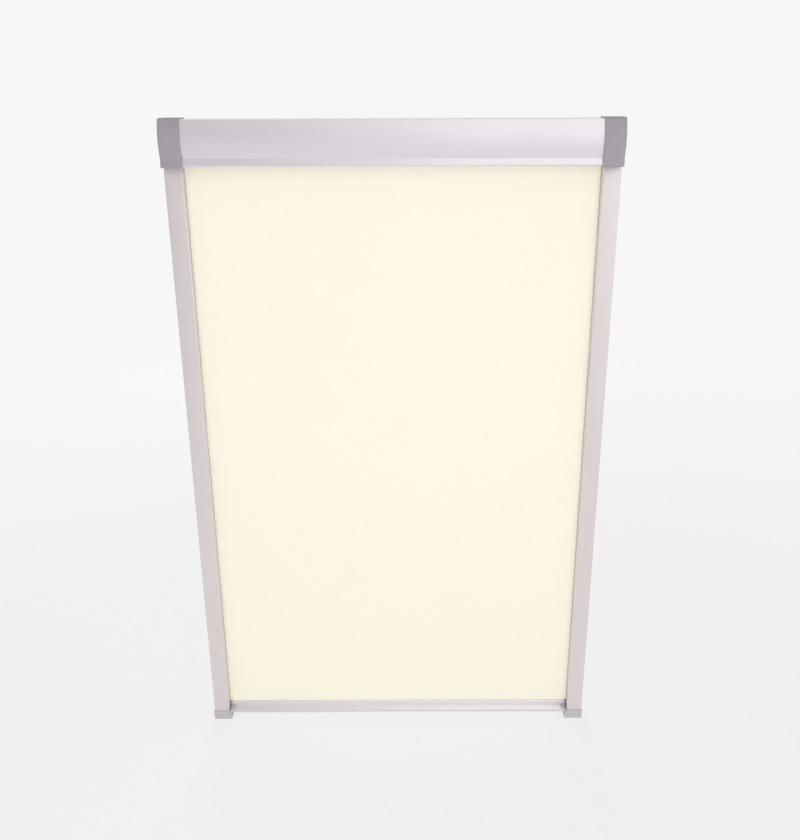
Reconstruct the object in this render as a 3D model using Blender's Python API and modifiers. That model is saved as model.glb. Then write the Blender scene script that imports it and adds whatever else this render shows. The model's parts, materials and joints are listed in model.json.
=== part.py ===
"""A skylight window blind, drawn closed.

A sprung roller sits in an aluminium cassette. Its blackout fabric runs down between two side
channels to a handle bar, whose guide shoes slide in the channels and hold by friction.

Metres. X runs across the blind, +Y points out of its back towards the sash, and +Z runs up along
the channels. The origin is the middle of the cassette's flat back face.
"""

import math

import bmesh
import bpy

MM = 0.001

# Overall sizes
WIDTH = 638 * MM  # over the two side channels
HEIGHT = 995 * MM  # top of the end caps to the bottom of the foot caps
GAP = 0.3 * MM  # between neighbouring pieces
PLAY = 0.4 * MM  # round a plug in its hollow
PAST = 1 * MM  # how far a cut runs past the face it opens

# Cassette section: a flat back, a flat top, a shallow convex front, and a flared lower lip
CASSETTE_HEIGHT = 62 * MM
CASSETTE_DEPTH = 41.5 * MM
CASSETTE_WALL = 1.5 * MM
FRONT_RADIUS = 63 * MM
FRONT_MIDDLE_Z = 2 * MM  # where the front stands out most
TOP_EDGE_RADIUS = 3 * MM
LIP_HEIGHT = 11 * MM
LIP_SET_BACK = 3.9 * MM  # the lip's upper edge, behind the furthest front
LIP_FLARE = 2.4 * MM
LIP_EDGE_RADIUS = 2 * MM
LIP_LINE = 1.0 * MM  # height of the shadow line between the front and the lip
LIP_LINE_DEPTH = 0.9 * MM
MOUTH_FRONT_Y = -24 * MM  # the open underside runs from here to the back wall
HEM_HEIGHT = 4 * MM
HEM_WALL = 1.3 * MM
PORT_RADIUS = 3.6 * MM
PORT_BORE_RADIUS = 1.8 * MM
PORT_INSET = 2.2 * MM  # from the inner face of each wall that a port leans on
PORT_SLIT = 1.4 * MM

# End caps and the plates inside them
CAP_PROUD = 1.5 * MM  # of the cassette, all round
CAP_WALL = 1.5 * MM
CAP_EDGE = 0.7 * MM
CAP_MOUTH_Y = -23 * MM  # behind this the cap is open, for the channel and the fabric
CAP_INNER_X = 288.5 * MM
CAP_OUTER_X = WIDTH / 2 - 1 * MM
CAP_PEG_RADIUS = 1.5 * MM
CAP_PEG_BITE = 2 * MM
CAP_PEG_PLACES = ((-12 * MM, -20 * MM), (-22 * MM, 24.5 * MM))
SHELL_END_X = 309 * MM
PLATE_THICKNESS = 3 * MM
PLATE_INSET = 0.2 * MM  # from the outside of the cassette
PLATE_INNER_X = SHELL_END_X + GAP
PLATE_OUTER_X = PLATE_INNER_X + PLATE_THICKNESS
SOCKET_RADIUS = 6.5 * MM
SOCKET_END_X = 316 * MM
PIN_HOLE_RADIUS = 3.3 * MM
BLADE_WIDTH = 6.4 * MM
BLADE_THICKNESS = 2.4 * MM
SPIGOT_LENGTH = 28 * MM
SPIGOT_DEPTH = 14 * MM
SPIGOT_EDGE = 0.8 * MM
SPIGOT_ROOT_Z = -24 * MM
SPIGOT_OUTER_X = CAP_OUTER_X - CAP_WALL - GAP
FOOT_SPIGOT_ROOT = 3 * MM

# Screws that hold the end plates to the ports
SCREW_HEAD_HEIGHT = 1.8 * MM
SCREW_HEAD_RADIUS = 3 * MM
SCREW_DOME_RADII = (1.9 * MM, 2.7 * MM)
SCREW_SHANK_RADIUS = 1.5 * MM
SCREW_REACH = 9 * MM
SCREW_POINT = (1.2 * MM, 0.5 * MM)  # length and end radius
SCREW_RECESS_RADIUS = 0.9 * MM
SCREW_RECESS_DEPTH = 1 * MM

# Side channels: a guide chamber open towards the fabric, and a closed outer chamber
CHANNEL_WIDTH = 26 * MM
CHANNEL_DEPTH = 23 * MM
CHANNEL_WALL = 1.3 * MM
CHANNEL_CORNER = 2.5 * MM
CHANNEL_INNER_CORNER = 1 * MM
CHAMBER_CORNER = 0.8 * MM
GUIDE_WIDTH = 13.4 * MM
SLOT_FRONT_Y = -12.5 * MM
SLOT_BACK_Y = -4.5 * MM
SEAL_WIDTH = 1.1 * MM
SEAL_INSET = 0.1 * MM
CHANNEL_INNER_X = WIDTH / 2 - CHANNEL_WIDTH
CHANNEL_OUTER_X = WIDTH / 2
GUIDE_INNER_X = CHANNEL_INNER_X + CHANNEL_WALL
GUIDE_OUTER_X = GUIDE_INNER_X + GUIDE_WIDTH
OUTER_CHAMBER_X = GUIDE_OUTER_X + CHANNEL_WALL

# Foot caps
FOOT_HEIGHT = 16.2 * MM
FOOT_PROUD = 0.8 * MM
FOOT_TOE = 3.6 * MM  # reaches under the handle bar
FOOT_SHOULDER = 5.5 * MM
FOOT_BAND = 3.6 * MM  # upright band above the shoulder
FOOT_CORNER = 3 * MM
FOOT_TOE_TUCK = (1.6 * MM, 6 * MM)  # width and height of the toe's curve back to its bottom
FOOT_EDGE = 0.8 * MM

# Roller and fabric
ROLLER_Y = -22 * MM
ROLLER_Z = 6 * MM
TUBE_RADIUS = 12.5 * MM
TUBE_WALL = 1.2 * MM
TUBE_END_X = 306 * MM
GROOVE_WIDTH = 3 * MM
GROOVE_DEPTH = 2.6 * MM
FABRIC_THICKNESS = 0.35 * MM
FABRIC_WIDTH = 608 * MM
FABRIC_DROP = 2.9 * MM  # from the roller's axis down to where the flat run starts
FABRIC_CORNER = 1 * MM  # clear of the bar and its end mouldings
KEY_TOP = 0.7 * MM  # below the tube's outside
KEY_CORNER = 0.4 * MM
SPARE_LAYERS = 2  # layers left on the roller when the blind is closed
ROLL_RADIUS = TUBE_RADIUS + GAP + SPARE_LAYERS * FABRIC_THICKNESS
FABRIC_Y = ROLLER_Y + ROLL_RADIUS - FABRIC_THICKNESS / 2
FLANGE_RADIUS = 12.2 * MM
FLANGE_THICKNESS = 1.5 * MM
PLUG_RADIUS = TUBE_RADIUS - TUBE_WALL - PLAY
PLUG_CHAMFER = 1 * MM
FLANGE_INNER_X = TUBE_END_X + GAP
FLANGE_OUTER_X = FLANGE_INNER_X + FLANGE_THICKNESS

# Spring side, on the left
SPINDLE_RADIUS = 3 * MM
SPINDLE_TIP_X = 315.6 * MM
SPINDLE_ROUND_X = 308.6 * MM  # the flat blade becomes round here
SPINDLE_NECK_X = 285 * MM
BLADE_ROOT = 3 * MM
BLADE_EDGE = 0.4 * MM
ROD_RADIUS = 2.4 * MM
ROD_END_X = 108 * MM
SPRING_PLUG_INNER_X = 287 * MM
ANCHOR_OUTER_X = 284.5 * MM
ANCHOR_FACE_X = 276 * MM
CARRIER_FACE_X = 122 * MM
CARRIER_INNER_X = 110 * MM
SPRING_BOSS_LENGTH = 9 * MM
SPRING_BOSS_RADIUS = 6.5 * MM
SPRING_COIL_RADIUS = 7.6 * MM
SPRING_WIRE_RADIUS = 0.6 * MM
SPRING_TURNS = 30

# Idle side, on the right: a sprung pin that lets the roller be lifted in
PIN_RADIUS = 2.9 * MM
PIN_CHAMFER = 0.8 * MM
PIN_TIP_X = 315 * MM
PIN_COLLAR_RADIUS = 5.8 * MM
PIN_COLLAR_X = (299.5 * MM, 302.6 * MM)
PIN_TAIL_RADIUS = 2 * MM
PIN_TAIL_END_X = 288 * MM
PLUG_CAVITY_RADIUS = 6.2 * MM
PLUG_CAVITY_END_X = 303 * MM
IDLE_PLUG_INNER_X = 280 * MM
SEAT_THICKNESS = 3.2 * MM
PIN_SPRING_RADIUS = 3.9 * MM
PIN_SPRING_WIRE = 0.4 * MM
PIN_SPRING_TURNS = 6

# Handle bar, with its lowest edge this far above the foot caps' underside
BAR_LIFT = 13 * MM
BAR_HEIGHT = 14.4 * MM
BAR_FRONT_Y = -12 * MM
BAR_BACK_Y = -4 * MM
BAR_WALL = 1.2 * MM
BAR_END_X = 289.7 * MM
LEDGE_FRONT_Y = -24 * MM
LEDGE_TOP = 4.5 * MM
LEDGE_WALL = 1.4 * MM
LEDGE_END_BACK_X = 283.6 * MM  # where the ledge ends, at the bar's face
LEDGE_END_FRONT_X = 286.6 * MM  # and at its own front edge
FABRIC_SLOT = 1.3 * MM
POCKET_RADIUS = 2.2 * MM
POCKET_Z = 10.6 * MM
CHAMBER_TOP = 7 * MM
SPLINE_RADIUS = 1.5 * MM
BAR_RIM = 0.6 * MM  # radius of its outer corners
LEDGE_FILLET = 1 * MM
NOTCH_SKIM = 0.01 * MM  # keeps the cut off the bar's own face
BAR_HOLLOW_CORNER = 0.4 * MM
BAR_SCREW_X = 280 * MM
BAR_SCREW_RADIUS = 1.3 * MM
BAR_SCREW_HOLE_RADIUS = 1.6 * MM
BAR_SCREW_FRONT_Y = -9 * MM
BAR_SCREW_BACK_Y = -4.2 * MM
BAR_SCREW_RECESS = (0.7 * MM, 1.2 * MM)  # radius and depth

# Mouldings at the bar's ends
TRIM_PROUD = (0.4 * MM, 0.7 * MM)  # of the ledge, in front and above
TRIM_RISE = 3.7 * MM  # of the trim at the bar's face, above the ledge
BAR_PLUG_END_X = 275 * MM

# Guide shoes and brakes at the bar's ends
SHOE_FRONT_Y = -21.3 * MM
SHOE_BACK_Y = -1.9 * MM
SHOE_INNER_X = GUIDE_INNER_X + 0.6 * MM
SHOE_OUTER_X = GUIDE_OUTER_X - 0.5 * MM
SHOE_BOTTOM = 3.6 * MM
SHOE_TOP = 14 * MM
LEG_BACK_Y = -9.4 * MM
LEG_TOP = 35 * MM
NECK_FRONT_Y = -8.9 * MM
NECK_BACK_Y = -5 * MM
NECK_INSET = 0.6 * MM  # from the shoe's bottom and top
NECK_ROOT = 2 * MM
SHOE_EDGE = 0.5 * MM
BAR_FLANGE = 1.4 * MM
BRAKE_Y = -15.3 * MM
BRAKE_Z = 24 * MM
PAD_SIZE = (2.0 * MM, 6.0 * MM, 12.0 * MM)
PAD_TRAVEL = 1.2 * MM
PAD_EDGE = 0.5 * MM
BRAKE_SPRING_RADIUS = 2.0 * MM
BRAKE_SPRING_WIRE = 0.3 * MM
BRAKE_SPRING_TURNS = 5
BRAKE_BORE_RADIUS = 2.8 * MM
BRAKE_BORE_END_X = 297.5 * MM

# Levels worked out from the sizes above
HALF_HEIGHT = CASSETTE_HEIGHT / 2
CAP_TOP_Z = HALF_HEIGHT + CAP_PROUD
CAP_BOTTOM_Z = -CAP_TOP_Z
FOOT_BOTTOM_Z = CAP_TOP_Z - HEIGHT
FOOT_TOP_Z = FOOT_BOTTOM_Z + FOOT_HEIGHT
CHANNEL_TOP_Z = CAP_BOTTOM_Z - GAP
CHANNEL_BOTTOM_Z = FOOT_TOP_Z + GAP
BAR_Z = FOOT_BOTTOM_Z + BAR_LIFT

# Turns a section drawn in local X and Y into one in world Y and Z, run along world X
ALONG_X = (math.radians(90), 0, math.radians(90))
# Turns an outline drawn in local X and Y into one in world X and Z, run along world Y
ALONG_Y = (math.radians(90), 0, 0)

SIDES = {"left": -1, "right": 1}


def clear_scene():
    """Removes whatever the scene holds."""
    for obj in list(bpy.data.objects):
        bpy.data.objects.remove(obj, do_unlink=True)


def new_collection(name):
    """Returns a new collection linked to the scene."""
    collection = bpy.data.collections.new(name)
    bpy.context.scene.collection.children.link(collection)
    return collection


def finish(name, colour, roughness, metallic=0.0):
    """Returns a plain Principled material."""
    material = bpy.data.materials.new(name)
    material.use_nodes = True
    surface = material.node_tree.nodes["Principled BSDF"]
    surface.inputs["Base Color"].default_value = (*colour, 1.0)
    surface.inputs["Roughness"].default_value = roughness
    surface.inputs["Metallic"].default_value = metallic
    return material


def make_finishes():
    """Returns the materials by name."""
    return {
        "aluminium": finish("satin_aluminium", (0.76, 0.74, 0.76), 0.38, 1.0),
        "grey_moulding": finish("grey_moulding", (0.37, 0.35, 0.39), 0.5),
        "light_moulding": finish("light_grey_moulding", (0.50, 0.50, 0.53), 0.5),
        "nylon": finish("black_nylon", (0.04, 0.04, 0.045), 0.55),
        "acetal": finish("white_acetal", (0.80, 0.80, 0.78), 0.4),
        "steel": finish("zinc_plated_steel", (0.66, 0.67, 0.69), 0.32, 1.0),
        "fabric": finish("cream_blackout_fabric", (0.90, 0.84, 0.68), 0.9),
        "pile": finish("grey_pile", (0.30, 0.30, 0.31), 0.95),
        "felt": finish("brake_felt", (0.10, 0.10, 0.11), 0.95),
        "vinyl": finish("white_vinyl", (0.85, 0.85, 0.82), 0.35),
    }


class Bench:
    """Holds the collections and finishes, and puts pieces where they belong."""

    def __init__(self):
        self.parts = new_collection("skylight_window_blind")
        self.cutters = new_collection("cutters")
        self.finishes = make_finishes()

    def keep(self, obj, finish_name, parent=None):
        """Puts a finished piece in the blind, on its parent empty where it moves."""
        self.parts.objects.link(obj)
        obj.data.materials.clear()
        obj.data.materials.append(self.finishes[finish_name])
        if parent is not None:
            obj.location = obj.location - parent.location
            obj.parent = parent
        return obj

    def helper(self, obj):
        """Puts a cutter, or a shape to be joined on, where no render shows it."""
        self.cutters.objects.link(obj)
        obj.hide_render = True
        obj.display_type = "WIRE"
        return obj

    def axis(self, name, location):
        """Returns an empty on a joint's axis."""
        empty = bpy.data.objects.new(name, None)
        empty.location = location
        empty.empty_display_size = 0.02
        self.parts.objects.link(empty)
        return empty

    def combine(self, obj, other, operation):
        """Adds an exact Boolean with a helper."""
        self.helper(other)
        modifier = obj.modifiers.new(operation.lower(), "BOOLEAN")
        modifier.operation = operation
        modifier.solver = "EXACT"
        modifier.object = other
        return obj

    def cut(self, obj, cutter):
        """Takes a cutter's shape out of a piece."""
        return self.combine(obj, cutter, "DIFFERENCE")

    def join(self, obj, other):
        """Makes another shape one body with a piece."""
        return self.combine(obj, other, "UNION")


def arc(centre, radius, start, end, steps):
    """Returns points on an arc, both ends included, with its angles in degrees."""
    angles = [math.radians(start + (end - start) * i / steps) for i in range(steps + 1)]
    return [
        (centre[0] + radius * math.cos(a), centre[1] + radius * math.sin(a))
        for a in angles
    ]


def quarter(centre, reach, sideways_first, steps=5):
    """Returns a quarter of an ellipse, from its sideways end or from its upright end."""
    turns = [math.radians(90 * i / steps) for i in range(steps + 1)]
    if not sideways_first:
        turns.reverse()
    return [
        (centre[0] + reach[0] * math.cos(a), centre[1] + reach[1] * math.sin(a)) for a in turns
    ]


def rounded_box_outline(low, high, radius, steps=3):
    """Returns a rectangle with round corners, anticlockwise."""
    corners = (
        (high[0] - radius, high[1] - radius, 0),
        (low[0] + radius, high[1] - radius, 90),
        (low[0] + radius, low[1] + radius, 180),
        (high[0] - radius, low[1] + radius, 270),
    )
    return [
        point
        for x, y, start in corners
        for point in arc((x, y), radius, start, start + 90, steps)
    ]


def outline_curve(name, outlines, length):
    """Returns a filled 2D curve, given thickness: the first outline less the others."""
    curve = bpy.data.curves.new(name, "CURVE")
    curve.dimensions = "2D"
    curve.fill_mode = "BOTH"
    curve.extrude = length / 2
    for outline in outlines:
        spline = curve.splines.new("POLY")
        spline.points.add(len(outline) - 1)
        for point, (x, y) in zip(spline.points, outline):
            point.co = (x, y, 0, 1)
        spline.use_cyclic_u = True
    return bpy.data.objects.new(name, curve)


def to_mesh(curve_object):
    """Returns a mesh object in a curve's place, with its caps welded on."""
    bpy.context.scene.collection.objects.link(curve_object)
    graph = bpy.context.evaluated_depsgraph_get()
    mesh = bpy.data.meshes.new_from_object(curve_object.evaluated_get(graph))
    shape = bmesh.new()
    shape.from_mesh(mesh)
    bmesh.ops.remove_doubles(shape, verts=shape.verts, dist=1e-6)
    bmesh.ops.recalc_face_normals(shape, faces=shape.faces)
    shape.to_mesh(mesh)
    shape.free()
    name = curve_object.name
    place = curve_object.matrix_world.copy()
    bpy.data.objects.remove(curve_object, do_unlink=True)
    obj = bpy.data.objects.new(name, mesh)
    obj.matrix_world = place
    return obj


def run(name, outlines, axis, start, end, solid=True):
    """Returns an outline run along X, Y or Z from start to end, as a mesh unless told not to."""
    obj = outline_curve(name, outlines, abs(end - start))
    middle = (start + end) / 2
    if axis == "X":
        obj.rotation_euler = ALONG_X
        obj.location = (middle, 0, 0)
    elif axis == "Y":
        obj.rotation_euler = ALONG_Y
        obj.location = (0, middle, 0)
    else:
        obj.location = (0, 0, middle)
    return to_mesh(obj) if solid else obj


def box(name, low, high, bevel=0.0):
    """Returns a box between two corners, given in any order."""
    mesh = bpy.data.meshes.new(name)
    shape = bmesh.new()
    bmesh.ops.create_cube(shape, size=1)
    bmesh.ops.scale(shape, vec=[abs(h - l) for l, h in zip(low, high)], verts=shape.verts)
    shape.to_mesh(mesh)
    shape.free()
    obj = bpy.data.objects.new(name, mesh)
    obj.location = [(h + l) / 2 for l, h in zip(low, high)]
    if bevel:
        round_edges(obj, bevel)
    return obj


def rod(name, axis, centre, radius, start, end, sides=16):
    """Returns a cylinder along X, Y or Z, its centre given by the other two."""
    mesh = bpy.data.meshes.new(name)
    shape = bmesh.new()
    bmesh.ops.create_cone(
        shape,
        cap_ends=True,
        segments=sides,
        radius1=radius,
        radius2=radius,
        depth=abs(end - start),
    )
    shape.to_mesh(mesh)
    shape.free()
    shade_round(mesh)
    obj = bpy.data.objects.new(name, mesh)
    middle = (start + end) / 2
    if axis == "X":
        obj.rotation_euler = (0, math.radians(90), 0)
        obj.location = (middle, centre[0], centre[1])
    elif axis == "Y":
        obj.rotation_euler = ALONG_Y
        obj.location = (centre[0], middle, centre[1])
    else:
        obj.location = (centre[0], centre[1], middle)
    return obj


def shade_round(mesh):
    """Shades a round piece smooth, with its square edges kept."""
    mesh.shade_smooth()
    mesh.set_sharp_from_angle(angle=math.radians(35))


def round_edges(obj, width, segments=2, angle=40):
    """Rounds the edges sharper than an angle."""
    modifier = obj.modifiers.new("round_edges", "BEVEL")
    modifier.width = width
    modifier.segments = segments
    modifier.limit_method = "ANGLE"
    modifier.angle_limit = math.radians(angle)
    return obj


def turned(name, side, profile, steps=20):
    """Returns a shape turned about the roller's axis.

    The profile is a list of (distance from the blind's middle, radius), from the outer end of the
    piece towards the middle of the blind, and it starts and ends on the axis or closes a ring.
    """
    mesh = bpy.data.meshes.new(name)
    shape = bmesh.new()
    points = [shape.verts.new((radius, 0, x)) for x, radius in profile]
    for first, second in zip(points, points[1:]):
        shape.edges.new((first, second))
    if profile[0][1] > 0:
        shape.edges.new((points[-1], points[0]))
    shape.to_mesh(mesh)
    shape.free()
    obj = bpy.data.objects.new(name, mesh)
    obj.location = (0, ROLLER_Y, ROLLER_Z)
    obj.rotation_euler = (0, math.radians(90) * side, 0)
    screw = obj.modifiers.new("turn", "SCREW")
    screw.axis = "Z"
    screw.steps = steps
    screw.render_steps = steps
    screw.use_merge_vertices = True
    screw.merge_threshold = 0.00001
    screw.use_smooth_shade = True
    return obj


def coil(name, start, end, radius, wire, turns, points_per_turn=8):
    """Returns a coil of wire along X, as one tube about the given axis points."""
    curve = bpy.data.curves.new(name, "CURVE")
    curve.dimensions = "3D"
    curve.bevel_depth = wire
    curve.bevel_resolution = 1
    curve.use_fill_caps = True
    spline = curve.splines.new("POLY")
    count = turns * points_per_turn
    spline.points.add(count)
    for i, point in enumerate(spline.points):
        turn = math.tau * i / points_per_turn
        point.co = (
            start + (end - start) * i / count,
            radius * math.cos(turn),
            radius * math.sin(turn),
            1,
        )
    least = min(
        (spline.points[points_per_turn].co - spline.points[0].co).length - 2 * wire,
        2 * (radius - wire),
    )
    print(f"{name}: least gap to itself {least / MM:.2f} mm")
    return bpy.data.objects.new(name, curve)


def cassette_path(out, line):
    """Returns the cassette's outside from its top back edge round to its underside.

    The path is moved outwards by a distance, and holds the shadow line if asked to.
    """
    top = HALF_HEIGHT
    front_centre = (FRONT_RADIUS - CASSETTE_DEPTH, FRONT_MIDDLE_Z)
    rise = top - TOP_EDGE_RADIUS - FRONT_MIDDLE_Z
    reach = math.sqrt((FRONT_RADIUS - TOP_EDGE_RADIUS) ** 2 - rise**2)
    edge_centre = (front_centre[0] - reach, top - TOP_EDGE_RADIUS)
    edge_end = math.degrees(math.atan2(rise, -reach))
    line_z = -top + LIP_HEIGHT
    front_end = 180 + math.degrees(
        math.asin((FRONT_MIDDLE_Z - line_z) / (FRONT_RADIUS + out))
    )
    lip_top = (-CASSETTE_DEPTH + LIP_SET_BACK, line_z - LIP_LINE)
    lip_slope = math.atan2(LIP_FLARE, LIP_HEIGHT - LIP_LINE)
    lip_normal = (-math.cos(lip_slope), math.sin(lip_slope))
    lip_fall = lip_top[1] + top - LIP_EDGE_RADIUS * (1 + lip_normal[1])
    lip_centre = (
        lip_top[0] - lip_fall * math.tan(lip_slope) - lip_normal[0] * LIP_EDGE_RADIUS,
        lip_top[1] - lip_fall - lip_normal[1] * LIP_EDGE_RADIUS,
    )
    lip_angle = 180 - math.degrees(lip_slope)

    path = [(0, top + out)]
    path += arc(edge_centre, TOP_EDGE_RADIUS + out, 90, edge_end, 5)
    path += arc(front_centre, FRONT_RADIUS + out, edge_end, front_end, 10)[1:]
    if line:
        path.append((path[-1][0] + LIP_LINE_DEPTH, line_z - LIP_LINE / 2))
    path.append((lip_top[0] - out / math.cos(lip_slope), lip_top[1]))
    path += arc(lip_centre, LIP_EDGE_RADIUS + out, lip_angle, 270, 4)
    return path


def cassette_outline():
    """Returns the section of the cassette's wall."""
    outer = cassette_path(0, True)
    inner = cassette_path(-CASSETTE_WALL, False)
    floor = inner[-1][1]
    hem_top = -HALF_HEIGHT + HEM_HEIGHT
    hem_front = MOUTH_FRONT_Y - HEM_WALL
    back = [(0, -HALF_HEIGHT)]
    hem = [
        (MOUTH_FRONT_Y, -HALF_HEIGHT),
        (MOUTH_FRONT_Y, hem_top),
        (hem_front, hem_top),
        (hem_front, floor),
    ]
    inside = list(reversed(inner[1:]))
    inside += [
        (-CASSETTE_WALL, HALF_HEIGHT - CASSETTE_WALL),
        (-CASSETTE_WALL, -HALF_HEIGHT),
    ]
    return back + outer + hem + inside


def port_places():
    """Returns the centres of the three screw ports, in the corners of the section."""
    inset = CASSETTE_WALL + PORT_INSET
    high = HALF_HEIGHT - inset
    front = FRONT_RADIUS - inset
    front_y = (FRONT_RADIUS - CASSETTE_DEPTH) - math.sqrt(
        front**2 - (high - FRONT_MIDDLE_Z) ** 2
    )
    lip_y = -CASSETTE_DEPTH + LIP_SET_BACK - LIP_FLARE / 2 + inset
    return {"back": (-inset, high), "front": (front_y, high), "lip": (lip_y, -high)}


def make_cassette_shell(bench):
    """The extruded case: one wall with three split screw ports."""
    shell = run("cassette_shell", [cassette_outline()], "X", -SHELL_END_X, SHELL_END_X)
    for name, (y, z) in port_places().items():
        port = rod(f"port_{name}", "X", (y, z), PORT_RADIUS, -SHELL_END_X, SHELL_END_X, 12)
        bench.join(shell, port)
    for name, (y, z) in port_places().items():
        reach = SHELL_END_X + PAST
        bench.cut(shell, rod(f"bore_{name}", "X", (y, z), PORT_BORE_RADIUS, -reach, reach, 12))
        slit = box(
            f"slit_{name}",
            (-reach, -PORT_RADIUS - PAST, -PORT_SLIT / 2),
            (reach, 0, PORT_SLIT / 2),
        )
        towards = math.atan2(z - ROLLER_Z, y - ROLLER_Y)
        half = (PORT_RADIUS + PAST) / 2
        slit.rotation_euler = (towards, 0, 0)
        slit.location = (0, y - half * math.cos(towards), z - half * math.sin(towards))
        bench.cut(shell, slit)
    return bench.keep(shell, "aluminium")


def make_end_cap(bench, name, side):
    """A moulded cover that sleeves the cassette's end and hides its plate."""
    outer = cassette_path(CAP_PROUD, True)
    outer += [(0, CAP_BOTTOM_Z)]
    cap = run(name, [outer], "X", side * CAP_INNER_X, side * CAP_OUTER_X)
    round_edges(cap, CAP_EDGE, 2, 50)
    sleeve = cassette_path(GAP, False)
    beyond = 5 * PAST
    mouth_z = CAP_BOTTOM_Z - beyond
    sleeve += [(CAP_MOUTH_Y, sleeve[-1][1]), (CAP_MOUTH_Y, mouth_z), (beyond, mouth_z)]
    sleeve = [(beyond, sleeve[0][1])] + sleeve
    hollow_end = CAP_OUTER_X - CAP_WALL
    hollow = run(
        f"{name}_hollow", [sleeve], "X", side * (CAP_INNER_X - beyond), side * hollow_end
    )
    bench.cut(cap, hollow)
    peg_end = PLATE_OUTER_X - CAP_PEG_BITE
    for number, place in enumerate(CAP_PEG_PLACES):
        peg = rod(
            f"{name}_peg_{number}",
            "X",
            place,
            CAP_PEG_RADIUS,
            side * peg_end,
            side * (CAP_OUTER_X - CAP_WALL / 2),
            12,
        )
        bench.join(cap, peg)
    return bench.keep(cap, "grey_moulding")


def channel_spigot(name, side, low_z, high_z):
    """Returns the tongue that a plate or a foot puts into a channel's outer chamber."""
    middle_y = -CHANNEL_DEPTH / 2
    return box(
        f"{name}_spigot",
        (side * (OUTER_CHAMBER_X + PLAY), middle_y - SPIGOT_DEPTH / 2, low_z),
        (side * SPIGOT_OUTER_X, middle_y + SPIGOT_DEPTH / 2, high_z),
        SPIGOT_EDGE,
    )


def make_end_plate(bench, name, side, socket):
    """The plate that closes the cassette's end, bears the roller and plugs into the channel."""
    outline = cassette_path(-PLATE_INSET, False)
    outline = [(-PLATE_INSET, outline[0][1])] + outline[1:]
    outline += [(-PLATE_INSET, outline[-1][1])]
    plate = run(name, [outline], "X", side * PLATE_INNER_X, side * PLATE_OUTER_X)
    boss = rod(
        f"{name}_boss",
        "X",
        (ROLLER_Y, ROLLER_Z),
        SOCKET_RADIUS,
        side * (PLATE_OUTER_X - PAST),
        side * SOCKET_END_X,
        20,
    )
    bench.join(plate, boss)
    bench.join(plate, channel_spigot(name, side, CHANNEL_TOP_Z - SPIGOT_LENGTH, SPIGOT_ROOT_Z))
    reach = (side * (PLATE_INNER_X - PAST), side * (PLATE_OUTER_X + PAST))
    for port, place in port_places().items():
        bench.cut(plate, rod(f"{name}_hole_{port}", "X", place, PORT_BORE_RADIUS, *reach, 12))
    for number, place in enumerate(CAP_PEG_PLACES):
        hole = rod(f"{name}_peg_hole_{number}", "X", place, CAP_PEG_RADIUS + GAP, *reach, 12)
        bench.cut(plate, hole)
    if socket == "blade":
        half = (BLADE_WIDTH / 2 + GAP, BLADE_THICKNESS / 2 + GAP)
        hole = box(
            f"{name}_socket",
            (side * (PLATE_INNER_X - PAST), ROLLER_Y - half[0], ROLLER_Z - half[1]),
            (side * (SOCKET_END_X + PAST), ROLLER_Y + half[0], ROLLER_Z + half[1]),
        )
    else:
        hole = rod(
            f"{name}_socket",
            "X",
            (ROLLER_Y, ROLLER_Z),
            PIN_HOLE_RADIUS,
            side * (PLATE_INNER_X - PAST),
            side * (SOCKET_END_X + PAST),
            20,
        )
    bench.cut(plate, hole)
    return bench.keep(plate, "nylon")


def make_end_screw(bench, name, side, place):
    """A pan-head screw through the plate into a port, with a hexagon recess."""
    seat = PLATE_OUTER_X + GAP
    top = seat + SCREW_HEAD_HEIGHT
    tip = PLATE_INNER_X - SCREW_REACH
    point_length, point_radius = SCREW_POINT
    dome_top, dome_side = SCREW_DOME_RADII
    profile = [
        (top, 0),
        (top, dome_top),
        (seat + SCREW_HEAD_HEIGHT * 0.75, dome_side),
        (seat, SCREW_HEAD_RADIUS),
        (seat, SCREW_SHANK_RADIUS),
        (tip + point_length, SCREW_SHANK_RADIUS),
        (tip, point_radius),
        (tip, 0),
    ]
    screw = turned(name, side, profile, 12)
    screw.location = (0, place[0], place[1])
    recess = rod(
        f"{name}_recess",
        "X",
        place,
        SCREW_RECESS_RADIUS,
        side * (top - SCREW_RECESS_DEPTH),
        side * (top + PAST),
        6,
    )
    bench.cut(screw, recess)
    return bench.keep(screw, "steel")


def make_roller_tube(bench, axle):
    """The tube, with the keyway that grips the fabric's edge."""
    half = math.degrees(math.asin(GROOVE_WIDTH / 2 / TUBE_RADIUS))
    floor = TUBE_RADIUS - GROOVE_DEPTH
    outer = arc((0, 0), TUBE_RADIUS, 180 + half, 540 - half, 32)
    outer += [(-floor, GROOVE_WIDTH / 2), (-floor, -GROOVE_WIDTH / 2)]
    inner_radius = TUBE_RADIUS - TUBE_WALL
    inner_half_width = GROOVE_WIDTH / 2 + TUBE_WALL
    inner_half = math.degrees(math.asin(inner_half_width / inner_radius))
    inner_floor = floor - TUBE_WALL
    inner = arc((0, 0), inner_radius, 180 + inner_half, 540 - inner_half, 28)
    inner += [(-inner_floor, inner_half_width), (-inner_floor, -inner_half_width)]
    tube = run("roller_tube", [outer, inner], "X", -TUBE_END_X, TUBE_END_X, solid=False)
    tube.location = (0, ROLLER_Y, ROLLER_Z)
    return bench.keep(tube, "aluminium", axle)


def make_fabric_key(bench, axle):
    """The strip that locks the fabric into the tube's keyway."""
    low = (-TUBE_RADIUS + KEY_TOP, -GROOVE_WIDTH / 2 + GAP)
    high = (-TUBE_RADIUS + GROOVE_DEPTH - GAP, GROOVE_WIDTH / 2 - GAP)
    half = FABRIC_WIDTH / 2
    outline = rounded_box_outline(low, high, KEY_CORNER, 2)
    key = run("fabric_key", [outline], "X", -half, half, solid=False)
    key.location = (0, ROLLER_Y, ROLLER_Z)
    return bench.keep(key, "vinyl", axle)


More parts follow.
